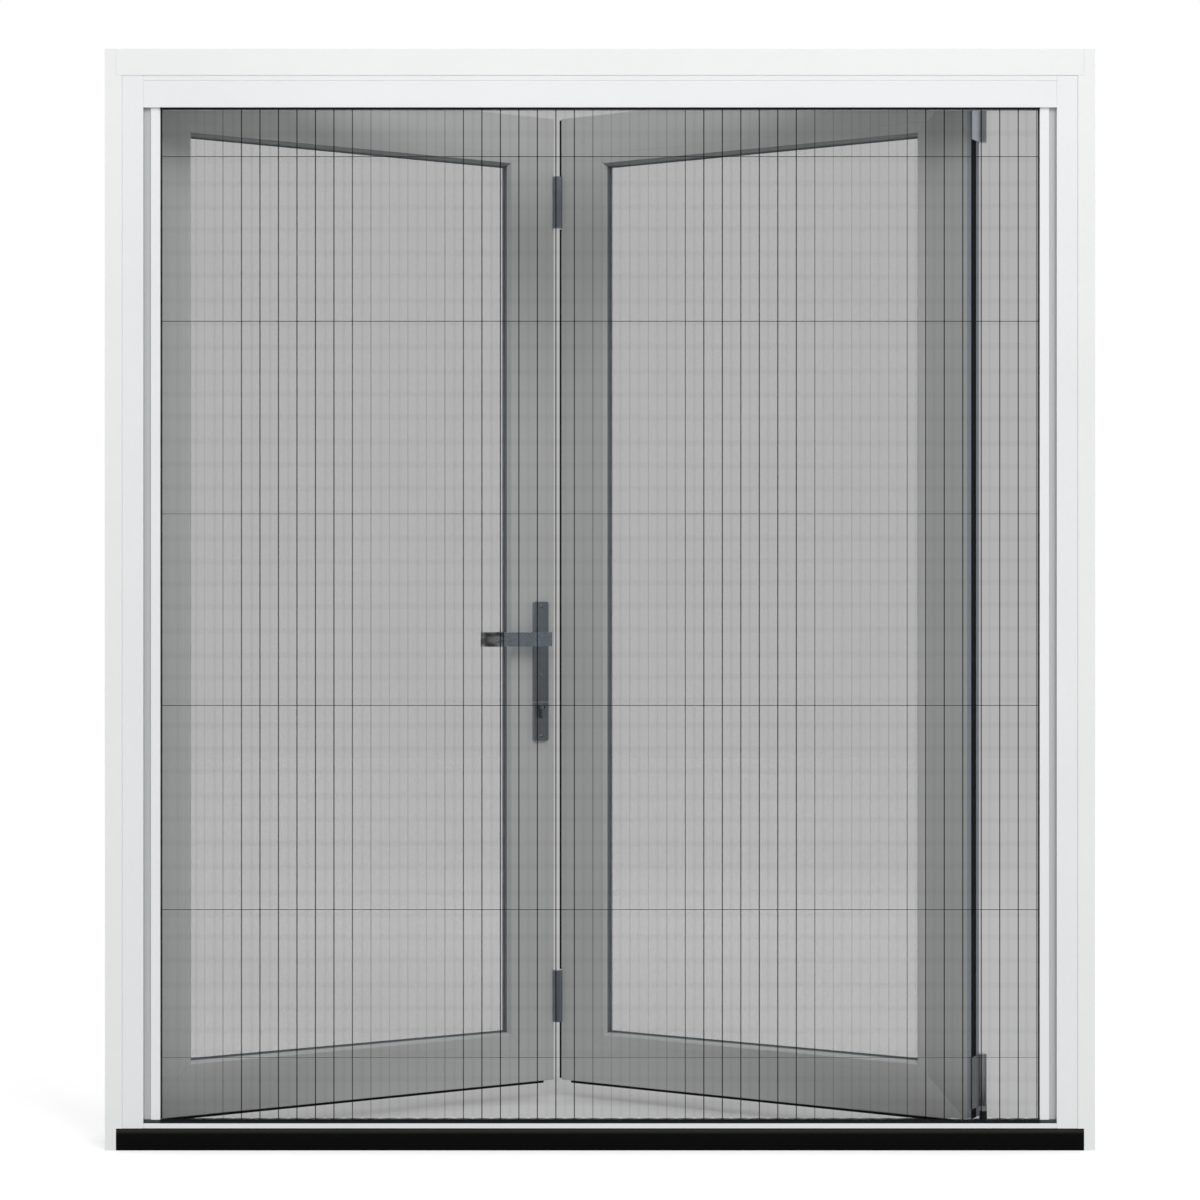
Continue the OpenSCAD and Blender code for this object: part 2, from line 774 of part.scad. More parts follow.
// Two panes
module panes() {
    color(glass_tint) for (t = [glass_depth, glass_depth + pane_t + pane_gap])
        span([glass_edge, t, glass_edge], [leaf_w - glass_edge, t + pane_t, leaf_h - glass_edge]);
}

module spacer() {
    color(steel) leaf_ring(spacer_edge, spacer_edge + spacer_w,
        glass_depth + pane_t, glass_depth + pane_t + pane_gap);
}

module gaskets() {
    color(dark) {
        leaf_ring(gasket_edge, bead_edge + gasket_show, bead_t, glass_depth);
        leaf_ring(glass_edge, lip_w, lip_t - gasket_out, lip_t);
    }
}

// The dark strip all round the leaf's edge, and the sweep under its bottom
module edge_strip() {
    leaf_ring(0, break_depth, shell_in, shell_out_t);
    span([22, 3, -sweep_h], [leaf_w - 24, 9, 0]);
}

module jamb_leaf_beads() {
    in_jamb_leaf() beads();
}

module jamb_leaf_glass() {
    in_jamb_leaf() panes();
}

module jamb_leaf_spacer() {
    in_jamb_leaf() spacer();
}

module jamb_leaf_gaskets() {
    in_jamb_leaf() gaskets();
}

module jamb_leaf_seals() {
    color(dark) in_jamb_leaf() {
        difference() {
            edge_strip();
            lock_room(loose);
            bolt_hole(leaf_h - break_depth - leaf_wall - cut);
            bolt_hole(-cut);
        }
        span([leaf_w, shell_out_t + 3, 3], [leaf_w + seal_out, leaf_t - 2, leaf_h - 3]);
    }
}

// Edge plate of a leaf's hinge, with a tab to the knuckle on the axis
module edge_plate(z, tab) {
    span([-plate_t, leaf_t - plate_reach, z], [0, leaf_t, z + hinge_h]);
    span([-plate_t, leaf_t - 1, z + tab[0]], [0, leaf_t + axis_out - pin_r - 1, z + tab[1]]);
}

module jamb_leaf_hinge_leaves() {
    share = hinge_h * knuckle_end;
    color(white) in_jamb_leaf() for (z = [hinge_low, hinge_mid, hinge_high]) {
        edge_plate(z, [share + touch, hinge_h - share - touch]);
        knuckles([-leaf_gap, leaf_t + axis_out, z], knuckle_r, hinge_h, false, pin_r);
    }
}

// Half of the fold hinges: plates on the fold edge, and knuckles in front of it
module fold_hinge(ends) {
    share = fold_hinge_h * knuckle_end;
    tabs = ends ? [[0, share], [fold_hinge_h - share, fold_hinge_h]]
        : [[share + touch, fold_hinge_h - share - touch]];
    axis_u = leaf_w + fold_gap / 2;
    color(steel) for (z = [fold_low, fold_high]) {
        span([leaf_w, fold_plate_in, z],
            [leaf_w + fold_plate_t, fold_plate_in + fold_plate_reach, z + fold_hinge_h]);
        for (s = tabs)
            difference() {
                span([leaf_w, 2, z + s[0]], [leaf_w + fold_plate_t + 2, fold_plate_in + 1, z + s[1]]);
                post([axis_u, -fold_front, z], pin_r + 1, fold_hinge_h);
            }
        knuckles([axis_u, -fold_front, z], fold_knuckle_r, fold_hinge_h, ends, pin_r);
    }
}

module fold_hinge_jamb_side() {
    in_jamb_leaf() fold_hinge(true);
}

module fold_hinge_pins() {
    color(steel) in_jamb_leaf() for (z = [fold_low, fold_high])
        post([leaf_w + fold_gap / 2, -fold_front, z], pin_r, fold_hinge_h);
}

// A handle backplate on the face at t = 0, standing out by its thickness
module backplate() {
    difference() {
        through(spindle_u, spindle_h + (backplate_up - backplate_down) / 2, -backplate_t, 0)
            round_rect(backplate_w, backplate_up + backplate_down, 5);
        rod_y([spindle_u, -backplate_t - cut, spindle_h], neck_r + 2 * pin_fit, backplate_t + 2 * cut);
        through(spindle_u, cylinder_h, -backplate_t - cut, cut) cylinder_outline(loose);
        for (z = screw_z)
            rod_y([spindle_u, -backplate_t - cut, z], screw_r, backplate_t + 2 * cut);
    }
}

// The other face of the leaf, as a mirror of the inner one
module outer_face() {
    translate([0, leaf_t, 0]) mirror([0, 1, 0]) children();
}

module inside_backplate() {
    color(steel) in_jamb_leaf() backplate();
}

module outside_backplate() {
    color(steel) in_jamb_leaf() outer_face() backplate();
}

// Three screws on one face: a domed head, a driving slot and a shank into the stile's wall
module screws() {
    dome = 1.8;
    for (z = screw_z) {
        difference() {
            intersection() {
                rod_y([spindle_u, -backplate_t - dome, z], screw_head_r, dome);
                translate([spindle_u, -backplate_t + 4.2, z]) sphere(r = 6);
            }
            span([spindle_u - screw_head_r - cut, -backplate_t - dome - cut, z - 0.4],
                [spindle_u + screw_head_r + cut, -backplate_t - 1, z + 0.4]);
        }
        rod_y([spindle_u, -backplate_t, z], screw_r - 0.1, backplate_t + leaf_wall + 4);
    }
}

module handle_screws() {
    color(steel) in_jamb_leaf() {
        screws();
        outer_face() screws();
    }
}

module lock_case() {
    mid = bolt_t;
    color(steel) in_jamb_leaf() difference() {
        union() {
            span([leaf_w - case_face - case_w, mid - case_t / 2, spindle_h - case_down],
                [leaf_w - case_face + 1, mid + case_t / 2, spindle_h + case_up]);
            span([leaf_w - case_face, mid - case_t / 2 - 1, spindle_h - case_down - 12],
                [leaf_w, mid + case_t / 2 + 1, spindle_h + case_up + 12]);
        }
        rod_y([spindle_u, 0, spindle_h], 7, leaf_t);
        through(spindle_u, cylinder_h, 0, leaf_t) cylinder_outline(loose);
        for (z = [spindle_h - case_down - cut, spindle_h + case_up - bolt_in - 1])
            post([spindle_u, mid, z], bolt_r + touch, bolt_in + 1 + cut);
    }
}

// A profile cylinder through the leaf, with a keyway at each end
module lock_cylinder() {
    color(steel) in_jamb_leaf() difference() {
        through(spindle_u, cylinder_h, -cylinder_out, leaf_t + cylinder_out) cylinder_outline(0);
        for (t = [-cylinder_out - cut, leaf_t + cylinder_out - 4])
            through(spindle_u, cylinder_h, t, t + 4 + cut) square([2, 9], center = true);
    }
}

// A flat bar lever on a round neck, with a return that bends back towards the leaf
module lever(length) {
    bend_u = spindle_u - length + lever_bend + lever_t;
    bend_t = -lever_out + lever_t + lever_bend;
    low = spindle_h - lever_h / 2;
    high = spindle_h + lever_h / 2;
    difference() {
        union() {
            span([bend_u, -lever_out, low], [spindle_u + lever_past, -lever_out + lever_t, high]);
            rod_y([spindle_u, -lever_out + lever_t - 1, spindle_h], neck_r, lever_out - lever_t);
            translate([bend_u, bend_t, low]) rotate([0, 0, 180])
                rotate_extrude(angle = 90) translate([lever_bend, 0]) square([lever_t, lever_h]);
            span([spindle_u - length, bend_t, low], [spindle_u - length + lever_t, -lever_clear, high]);
        }
        through(spindle_u, spindle_h, -lever_out + 6, cut) square(spindle_s + 2 * pin_fit, center = true);
    }
}

module inside_lever() {
    color(steel) in_jamb_leaf() lever(lever_l);
}

module outside_lever() {
    color(steel) in_jamb_leaf() outer_face() lever(outer_lever_l);
}

module handle_spindle() {
    color(steel) in_jamb_leaf()
        through(spindle_u, spindle_h, -lever_out + 6.5, leaf_t + lever_out - 6.5)
            square(spindle_s, center = true);
}

module top_shoot_bolt() {
    low = spindle_h + case_up - bolt_in;
    color(steel) in_jamb_leaf() post([spindle_u, bolt_t, low], bolt_r, leaf_h - bolt_stand - low);
}

module bottom_shoot_bolt() {
    high = spindle_h - case_down + bolt_in;
    color(steel) in_jamb_leaf() post([spindle_u, bolt_t, bolt_stand], bolt_r, high - bolt_stand);
}

module lead_leaf_fold_stile() {
    color(white) in_lead_leaf() difference() {
        side_run(FOLD) member_section();
        fold_notches();
    }
}

module lead_leaf_closing_stile() {
    color(white) in_lead_leaf() side_run(HINGE) member_section();
}

module lead_leaf_top_rail() {
    color(white) in_lead_leaf() side_run(TOP) member_section();
}

module lead_leaf_bottom_rail() {
    color(white) in_lead_leaf() side_run(BOTTOM) member_section();
}

module lead_leaf_beads() {
    in_lead_leaf() beads();
}

module lead_leaf_glass() {
    in_lead_leaf() panes();
}

module lead_leaf_spacer() {
    in_lead_leaf() spacer();
}

module lead_leaf_gaskets() {
    in_lead_leaf() gaskets();
}

// Edge strip, sweep, and the fold seal that stops at each fold hinge
module lead_leaf_seals() {
    color(dark) in_lead_leaf() {
        edge_strip();
        for (z = [[3, fold_low - 2], [fold_low + fold_hinge_h + 2, fold_high - 2],
            [fold_high + fold_hinge_h + 2, leaf_h - 3]])
            span([leaf_w, edge_bevel, z[0]], [leaf_w + seal_out, 14, z[1]]);
    }
}

module fold_hinge_lead_side() {
    in_lead_leaf() fold_hinge(false);
}

// Edge plates of the lead leaf, each with one long knuckle for the carriage's pivot or the guide pin
module carriage_hinge_leaves() {
    color(steel) in_lead_leaf() for (z = [hinge_low, hinge_high]) {
        edge_plate(z, [0, hinge_h]);
        difference() {
            post([-leaf_gap, leaf_t + axis_out, z], knuckle_r, hinge_h);
            post([-leaf_gap, leaf_t + axis_out, z - cut], pivot_r + pin_fit, hinge_h + 2 * cut);
        }
    }
}

// The carriage's own space: 0 on the lead leaf's axis at floor level
module in_carriage() {
    translate([lead_axis_x, axis_y, 0]) children();
}

module carriage_block() {
    base = track_z + 3;
    seat = leaf_z + hinge_low;
    color(dark) in_carriage() {
        difference() {
            translate([block_front - block_l / 2, 0, base]) linear_extrude(block_h)
                round_rect(block_l, block_w, 6);
            for (x = axle_x) {
                span([x - wheel_r - 1, -wheel_w / 2 - touch, base - cut],
                    [x + wheel_r + 1, wheel_w / 2 + touch, base + block_h + cut]);
                rod_y([x, -block_w, axle_z], axle_r + pin_fit, 2 * block_w);
            }
        }
        post([0, 0, base + block_h - 1], shoulder_r, seat - touch - base - block_h + 1);
        post([0, 0, seat - touch - 1], pivot_r, hinge_h + 1);
    }
}

module carriage_axles() {
    color(steel) in_carriage() for (x = axle_x)
        rod_y([x, -block_w / 2, axle_z], axle_r, block_w);
}

// A carriage wheel with hollowed sides
module wheel(x) {
    dish = 1;
    color(steel) in_carriage() difference() {
        rod_y([x, -wheel_w / 2, axle_z], wheel_r, wheel_w);
        rod_y([x, -wheel_w / 2 - cut, axle_z], axle_r + pin_fit, wheel_w + 2 * cut);
        for (y = [-wheel_w / 2 - cut, wheel_w / 2 - dish])
            difference() {
                rod_y([x, y, axle_z], wheel_r - 1.5, dish + cut);
                rod_y([x, y - cut, axle_z], axle_r + 1.5, dish + 3 * cut);
            }
    }
}

module front_wheel() {
    wheel(axle_x[0]);
}

module rear_wheel() {
    wheel(axle_x[1]);
}

module guide_pin() {
    low = leaf_z + hinge_high;
    top = low + hinge_h;
    color(steel) in_carriage() {
        post([0, 0, low], pivot_r, roller_z + roller_h + touch - low);
        post([0, 0, top + touch], shoulder_r - 0.5, 6);
        post([0, 0, roller_z - touch - 3], pivot_r + 2, 3);
        post([0, 0, roller_z + roller_h + touch], pivot_r + 2, 1.5);
    }
}

module guide_roller() {
    color(dark) in_carriage() difference() {
        post([0, 0, roller_z], roller_r, roller_h);
        post([0, 0, roller_z - cut], pivot_r + pin_fit, roller_h + 2 * cut);
    }
}

left_jamb();
right_jamb();
head();
sill();
sill_track();
head_guide();
frame_seals();
bolt_keeps();
frame_hinge_leaves();
frame_hinge_pins();
screen_left_profile();
screen_right_profile();
screen_cassette();
screen_floor_track();
screen_brushes();
screen_fixed_bar();
screen_fixed_feet();
screen_mesh();
screen_cords();
screen_pull_bar();
screen_pull_feet();
jamb_leaf_hinge_stile();
jamb_leaf_fold_stile();
jamb_leaf_top_rail();
jamb_leaf_bottom_rail();
jamb_leaf_beads();
jamb_leaf_glass();
jamb_leaf_spacer();
jamb_leaf_gaskets();
jamb_leaf_seals();
jamb_leaf_hinge_leaves();
fold_hinge_jamb_side();
fold_hinge_pins();
inside_backplate();
outside_backplate();
handle_screws();
lock_case();
lock_cylinder();
inside_lever();
outside_lever();
handle_spindle();
top_shoot_bolt();
bottom_shoot_bolt();
lead_leaf_fold_stile();
lead_leaf_closing_stile();
lead_leaf_top_rail();
lead_leaf_bottom_rail();
lead_leaf_beads();
lead_leaf_glass();
lead_leaf_spacer();
lead_leaf_gaskets();
lead_leaf_seals();
fold_hinge_lead_side();
carriage_hinge_leaves();
carriage_block();
carriage_axles();
front_wheel();
rear_wheel();
guide_pin();
guide_roller();
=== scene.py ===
"""Finishes, pleated screen and stage for the folding door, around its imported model."""

import json
import math

import bmesh
import bpy
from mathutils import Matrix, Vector

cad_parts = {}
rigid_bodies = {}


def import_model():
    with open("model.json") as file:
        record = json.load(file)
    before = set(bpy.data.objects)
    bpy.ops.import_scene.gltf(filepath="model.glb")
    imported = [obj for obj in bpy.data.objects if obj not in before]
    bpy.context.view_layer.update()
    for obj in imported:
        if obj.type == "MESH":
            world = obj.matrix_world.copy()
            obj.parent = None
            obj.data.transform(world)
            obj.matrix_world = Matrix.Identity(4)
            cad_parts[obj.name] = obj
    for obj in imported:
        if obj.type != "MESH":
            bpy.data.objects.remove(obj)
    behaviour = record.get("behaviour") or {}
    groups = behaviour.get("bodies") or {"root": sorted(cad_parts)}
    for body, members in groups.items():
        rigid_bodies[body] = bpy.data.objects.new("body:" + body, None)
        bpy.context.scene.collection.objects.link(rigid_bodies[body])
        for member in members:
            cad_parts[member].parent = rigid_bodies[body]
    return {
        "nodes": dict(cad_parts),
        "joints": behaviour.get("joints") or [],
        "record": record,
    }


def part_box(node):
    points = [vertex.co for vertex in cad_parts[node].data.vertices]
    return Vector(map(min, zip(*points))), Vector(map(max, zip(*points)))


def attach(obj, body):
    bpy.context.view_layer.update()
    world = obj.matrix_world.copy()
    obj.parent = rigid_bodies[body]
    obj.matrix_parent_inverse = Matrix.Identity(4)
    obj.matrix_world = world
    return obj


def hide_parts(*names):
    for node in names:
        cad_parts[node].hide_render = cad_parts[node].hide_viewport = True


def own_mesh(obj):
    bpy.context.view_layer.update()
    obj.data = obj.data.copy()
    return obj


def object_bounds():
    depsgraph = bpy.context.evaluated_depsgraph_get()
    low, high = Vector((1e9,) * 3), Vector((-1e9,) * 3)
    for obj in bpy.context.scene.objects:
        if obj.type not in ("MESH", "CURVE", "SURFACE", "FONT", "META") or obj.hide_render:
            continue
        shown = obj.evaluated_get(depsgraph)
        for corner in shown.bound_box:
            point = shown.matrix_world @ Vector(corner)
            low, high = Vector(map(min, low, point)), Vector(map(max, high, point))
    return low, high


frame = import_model()
cad_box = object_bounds()

bl_info = {
    "name": "Folding door looks",
    "version": (1, 0, 0),
    "blender": (4, 5, 0),
    "location": "3D View > Sidebar > Door",
    "description": "Finishes, pleated screen and stage for a folding glass door",
    "category": "Object",
}

# What the frame says: the pull bar's travel, and each node's body and slot
SLIDE = next(j for j in frame["joints"] if j["name"] == "screen_slide")["range_m"][1]
NODE_BODY = {n: b for b, ns in frame["record"]["behaviour"]["bodies"].items() for n in ns}
NODE_SLOT = {s["node"]: s["material_slot"] for s in frame["record"]["subparts"]}

# Directions, and how far the leaves are open at rest
UP = (0, 0, 1)
DOWN = (0, 0, -1)
BACK = (0, 1, 0)
RIGHT = (1, 0, 0)
LEAF_ANGLE = math.radians(30)

# Rounding of the CAD meshes
WELD = 2e-6
FLAT_ANGLE = math.radians(0.4)
SHARP_ANGLE = math.radians(38)
SMOOTH_ANGLE = math.radians(40)

# Where one finish, painted shade or painted highlight meets another on a piece: blends, widths and places
# in metres
SOFT = 0.0006
HAIR = 0.0005
# Painted shade on the beads' sides starts this deep
REVEAL_SHADE_START = 0.0105
# Painted shade on a screen bar starts this far out from its inner side
BAR_FACE = 0.0193
# Painted shade in the lever's crease: its width
CREASE_WIDTH = 0.0035
# Painted highlight just above the lock cylinder: its height
COVER_HIGHLIGHT_WIDTH = 0.0025
TRACK_LIP = 0.0015
TRACK_BLEND = 0.0007
POST_START = 0.048
POST_BLEND = 0.002
# Painted shade on the lower carriage plate: where it starts and over what height it blends
SHADE_TOP = 1.2
SHADE_LENGTH = 0.4
# Painted highlight on the sill's upper nose: how far down it reaches
NOSE_HIGHLIGHT_DEPTH = 0.013

# The share of a lever's length at its return that takes painted reflections, and how a shade compares with
# its base colour; the closing stile's darker colour is painted shade
RETURN_SHARE = 0.222
CLOSING_SHADE = 0.83
PLATE_TOP_SHADE = 0.74
COVER_SHADE = 1.06

# How squarely a face has to lie to take an edge's painted shade
CLOSING_FACING = 0.93
UNDER_FACING = 0.78
FACING_BLEND = 0.05

# How much smoother the screen's paint and the levers are than the other paint and steel
SLEEKER = 0.06

# The mesh: pleats are counted in half pitches from the front fold beside the pull bar
PRESS_START = 19.0
PRESS_PERIOD = 24.5
FADE = (85.3, 94.5)
# Painted shade lines at the mesh's two ends, as pleat counts
END_SHADE_RIGHT = (-0.19, -0.11)
END_SHADE_LEFT = (94.60, 94.68)

# The mesh and its cords: heights and thickness in metres
MESH_THICK = 0.0008
WEFT_PITCH = 0.047
LOW_CORD = (0.30, 0.34)
DEEP_CORD = 1.264
DEEP_REACH = (0.03, 0.06)


def colour_property(name, text, value):
    return bpy.props.FloatVectorProperty(
        name=name, description=text, default=value, size=3, min=0, max=1, subtype="COLOR"
    )


def length_property(name, text, value):
    return bpy.props.FloatProperty(
        name=name, description=text, default=value, min=0, precision=5, unit="LENGTH"
    )


def share_property(name, text, value):
    return bpy.props.FloatProperty(
        name=name, description=text, default=value, min=0, max=1, subtype="FACTOR"
    )


def power_property(name, text, value):
    return bpy.props.FloatProperty(
        name=name, description=text, default=value, min=0, unit="POWER"
    )


class DoorFinishes(bpy.types.PropertyGroup):
    """Colours and gloss of the door's finishes"""

    frame_white: colour_property("Frame", "Powder coat of the outer frame", (0.83, 0.845, 0.835))
    screen_white: colour_property("Screen", "Powder coat of the screen's profiles", (0.81, 0.828, 0.834))
    track_shade: colour_property("Track shade", "Shade behind the floor track's lip", (0.16, 0.17, 0.17))
    leaf_white: colour_property("Leaves", "Powder coat of the leaves", (0.80, 0.81, 0.805))
    # Painted shade: blue-grey on the lead leaf's closing edge, which lies in shade
    closing_edge: colour_property("Closing edge", "Anodised edge of the lead leaf", (0.42, 0.48, 0.55))
    sill_black: colour_property("Sill", "Powder coat of the sill", (0.0022, 0.0025, 0.0023))
    scuff: colour_property("Scuffs", "Fine scuffs in the sill's coat", (0.014, 0.0145, 0.014))
    dust: colour_property("Dust", "Dust where the sill faces up", (0.055, 0.052, 0.045))
    # Painted highlight: this lighter brown along the sill's upper nose stands for light on its rounded edge
    nose_dust: colour_property("Nose dust", "Dust on the sill's upper nose", (0.055, 0.053, 0.042))
    rubber: colour_property("Seals", "Rubber of the seals", (0.006, 0.006, 0.0065))
    gasket: colour_property("Gaskets", "Grey rubber that seats the glass", (0.21, 0.24, 0.26))
    bead_shade: colour_property("Bead underside", "Grey underside of the upper beads", (0.33, 0.34, 0.34))
    # Painted shade: this grey on the screen bars stands for the shade in the side profiles' recesses
    tongue: colour_property("Tongues", "Grey tongues beside the screen's bars", (0.49, 0.51, 0.515))
    pile: colour_property("Pile", "Pile of the screen's brushes", (0.010, 0.0105, 0.012))
    plastic: colour_property("Plastic", "Gliders and carriage", (0.030, 0.032, 0.036))
    yarn: colour_property("Yarn", "Coated yarn of the mesh", (0.008, 0.0085, 0.009))
    glass: colour_property("Glass", "Faint tint of the panes", (0.86, 0.90, 0.91))
    handle_steel: colour_property("Handle", "Dark satin steel of the handle", (0.34, 0.365, 0.385))
    # Painted highlight: this bright line just above the lock cylinder stands for light on the cylinder's
    # top
    cover_edge: colour_property("Cover edge", "Bright edge above the cylinder", (0.58, 0.61, 0.64))
    lever_steel: colour_property("Lever", "Blue-grey satin steel of the lever", (0.55, 0.64, 0.72))
    # Painted shade: this dark line stands for the shade in the lever's bend
    lever_crease: colour_property("Lever crease", "Crease before the lever's return", (0.09, 0.09, 0.09))
    # Painted reflection: the lever's return is painted in patches between these dark and bright colours
    mirror_dark: colour_property("Dark gleam", "Polished return where it is dark", (0.15, 0.15, 0.152))
    mirror_bright: colour_property("Bright gleam", "Polished return where it is bright", (0.52, 0.53, 0.55))
    hinge_steel: colour_property("Hinges", "Satin steel of the fold hinges", (0.36, 0.40, 0.46))
    carriage_steel: colour_property("Carriage plates", "Pale steel at the free edge", (0.74, 0.81, 0.88))
    # Painted shade: the lower carriage plate is painted this darker steel
    plate_shade: colour_property("Plate shade", "Darker steel of the lower plate", (0.20, 0.205, 0.21))
    # Painted highlight: the knuckles of the carriage plates are painted this bright steel
    knuckle: colour_property("Knuckle", "Bright knuckle of the carriage plates", (0.82, 0.84, 0.86))
    pin_zinc: colour_property("Guide pin", "Zinc of the guide pin", (0.80, 0.82, 0.84))
    bright_steel: colour_property("Bolts", "Bright steel of pins and bolts", (0.56, 0.57, 0.59))
    aluminium: colour_property("Aluminium", "Mill finish of the tracks", (0.66, 0.67, 0.68))
    paint_gloss: share_property("Paint roughness", "Roughness of the powder coat", 0.42)
    sill_gloss: share_property("Sill roughness", "Roughness of the sill's coat", 0.40)
    steel_gloss: share_property("Steel roughness", "Roughness of the satin steel", 0.30)
    bolt_gloss: share_property("Bolt roughness", "Roughness of the bright steel", 0.26)
    spacer_gloss: share_property("Spacer roughness", "Roughness of the glass spacers", 0.38)
    track_gloss: share_property("Track roughness", "Roughness of the tracks", 0.36)


class PleatedScreen(bpy.types.PropertyGroup):
    """Sizes of the pleated mesh and its pile brushes"""

    pitch: length_property("Pleat pitch", "Distance between neighbouring front folds", 0.0368)
    yarn_pitch: length_property("Yarn pitch", "Distance between neighbouring yarns", 0.0016)
    fold_line: length_property("Fold line", "Half the width of the pressed line on a fold", 0.0016)
    cover: share_property("Cover", "Share of the mesh that the yarns cover", 0.558)
    bristle: length_property("Bristle spacing", "Distance between neighbouring bristles", 0.0009)


class DoorStage(bpy.types.PropertyGroup):
    """Camera and light"""

    distance: length_property("Camera distance", "From the camera to the frame's front", 5.26)
    height: length_property("Camera height", "Camera above the floor", 1.069)
    lens: bpy.props.FloatProperty(
        name="Lens", description="Focal length in millimetres", default=79.5, min=10
    )
    key: power_property("Key light", "Power of the high light", 450)
    fill: power_property("Fill light", "Power of the low light", 42)
    rear: power_property("Rear light", "Power of the light behind", 30)
    ambient: share_property("Ambient", "Strength of the light from all round", 0.58)


class Value:
    """A node's output, so that sums are written as expressions."""

    def __init__(self, nodes, socket):
        self.nodes = nodes
        self.socket = socket

    def __add__(self, other):
        return self.nodes.calc("ADD", self, other)

    def __sub__(self, other):
        return self.nodes.calc("SUBTRACT", self, other)

    def __rsub__(self, other):
        return self.nodes.calc("SUBTRACT", other, self)

    def __mul__(self, other):
        return self.nodes.calc("MULTIPLY", self, other)

    def __truediv__(self, other):
        return self.nodes.calc("DIVIDE", self, other)

    def __rtruediv__(self, other):
        return self.nodes.calc("DIVIDE", other, self)

    __radd__ = __add__
    __rmul__ = __mul__


class Nodes:
    """A node tree under construction."""

    def __init__(self, tree):
        self.tree = tree

    def add(self, kind, settings=None, sockets=None, out=0):
        """Any node: its type, its settings, and the values or links of its sockets."""
        node = self.tree.nodes.new(kind)
        for key, value in (settings or {}).items():
            if key == "stops":
                self.set_stops(node.color_ramp.elements, value)
            else:
                setattr(node, key, value)
        for key, value in (sockets or {}).items():
            if isinstance(value, Value):
                self.tree.links.new(value.socket, node.inputs[key])
            else:
                node.inputs[key].default_value = value
        return Value(self, node.outputs[out]) if node.outputs else None

    @staticmethod
    def set_stops(elements, stops):
        """The grey stops of a ramp, each a place and a level."""
        while len(elements) < len(stops):
            elements.new(1)
        for element, (place, level) in zip(elements, stops):
            element.position = place
            element.color = (*grey(level), 1)

    def calc(self, operation, *values):
        return self.add("ShaderNodeMath", {"operation": operation}, dict(enumerate(values)))


class Finish(Nodes):
    """The nodes of a material or of the world."""

    def __init__(self, owner):
        owner.use_nodes = True
        super().__init__(owner.node_tree)
        self.owner = owner
        self.tree.nodes.clear()

    def place(self, turn=0.0, stretch=(1, 1, 1)):
        """Object coordinates, turned about Z and stretched."""
        coords = self.add("ShaderNodeTexCoord", out="Object")
        return self.add(
            "ShaderNodeMapping",
            {"vector_type": "POINT"},
            {"Vector": coords, "Rotation": (0, 0, -turn), "Scale": stretch},
        )

    def attribute(self, name):
        return self.add("ShaderNodeAttribute", {"attribute_name": name}, out="Fac")

    def along(self, vector, direction):
        """How far a vector reaches in a direction."""
        sockets = {0: vector, 1: direction}
        return self.add("ShaderNodeVectorMath", {"operation": "DOT_PRODUCT"}, sockets, out="Value")

    def height(self, vector):
        return self.add("ShaderNodeSeparateXYZ", sockets={0: vector}, out="Z")

    def noise(self, place, scale, detail=2.0, rough=0.5):
        return self.add(
            "ShaderNodeTexNoise",
            {"noise_dimensions": "3D"},
            {"Vector": place, "Scale": scale, "Detail": detail, "Roughness": rough},
        )

    def ramp(self, value, *stops):
        return self.add("ShaderNodeValToRGB", {"stops": stops}, {"Fac": value})

    def smooth(self, value, low, high):
        return self.add(
            "ShaderNodeMapRange",
            {"interpolation_type": "SMOOTHSTEP"},
            {"Value": value, "From Min": low, "From Max": high},
        )

    def wave(self, turns):
        """A cosine of so many whole turns."""
        return self.calc("COSINE", turns * math.tau)

    def tint(self, factor, a, b):
        """A colour between two colours."""
        sockets = {0: factor}
        for index, value in ((6, a), (7, b)):
            sockets[index] = value if isinstance(value, Value) else (*value, 1)
        return self.add("ShaderNodeMix", {"data_type": "RGBA"}, sockets, out=2)

    def banded(self, base, bands):
        """A colour with bands over it, each from its start on; a band's colour may need nodes."""
        for direction, start, blend, colour in bands:
            over = colour(self) if callable(colour) else colour
            reach = self.along(self.place(), direction)
            base = self.tint(self.smooth(reach, start, start + blend), base, over)
        return base

    def bump(self, height, distance, strength=0.5):
        return self.add(
            "ShaderNodeBump", sockets={"Height": height, "Distance": distance, "Strength": strength}
        )

    def surface(self, **sockets):
        """The Principled surface as the material's output."""
        named = {k.replace("_", " "): v for k, v in sockets.items()}
        shader = self.add("ShaderNodeBsdfPrincipled", sockets=named)
        self.add("ShaderNodeOutputMaterial", sockets={"Surface": shader})
        return self.owner


def material(name):
    return Finish(bpy.data.materials.new(name))


def scaled(colour, share):
    return tuple(c * share for c in colour)


def grey(level):
    return (level, level, level)


def powder_coat(name, colour, gloss, edge=None, bands=()):
    """Sprayed and baked paint with a fine orange peel; an edge is the faces that lie one way, which take
    its colour as painted shade.
    """
    f = material(name)
    place = f.place()
    cloud = f.noise(place, scale=3.0, detail=3.0)
    peel = f.noise(place, scale=620.0)
    speck = f.ramp(f.noise(place, scale=240.0, detail=4.0, rough=0.6), (0.30, 1.0), (0.40, 0.0))
    shade = f.ramp(cloud, (0.35, 0.0), (0.65, 1.0))
    base = f.tint(shade, scaled(colour, 0.975), colour)
    base = f.tint(speck * 0.10, base, scaled(colour, 0.80))
    if edge:
        direction, nearness, facing_shade_colour = edge
        lie = f.along(f.add("ShaderNodeTexCoord", out="Normal"), direction)
        base = f.tint(f.smooth(lie, nearness, nearness + FACING_BLEND), base, facing_shade_colour)
    return f.surface(
        Base_Color=f.banded(base, bands),
        Roughness=gloss - 0.06 + cloud * 0.10 + peel * 0.05,
        Normal=f.bump(peel, distance=0.00006),
    )


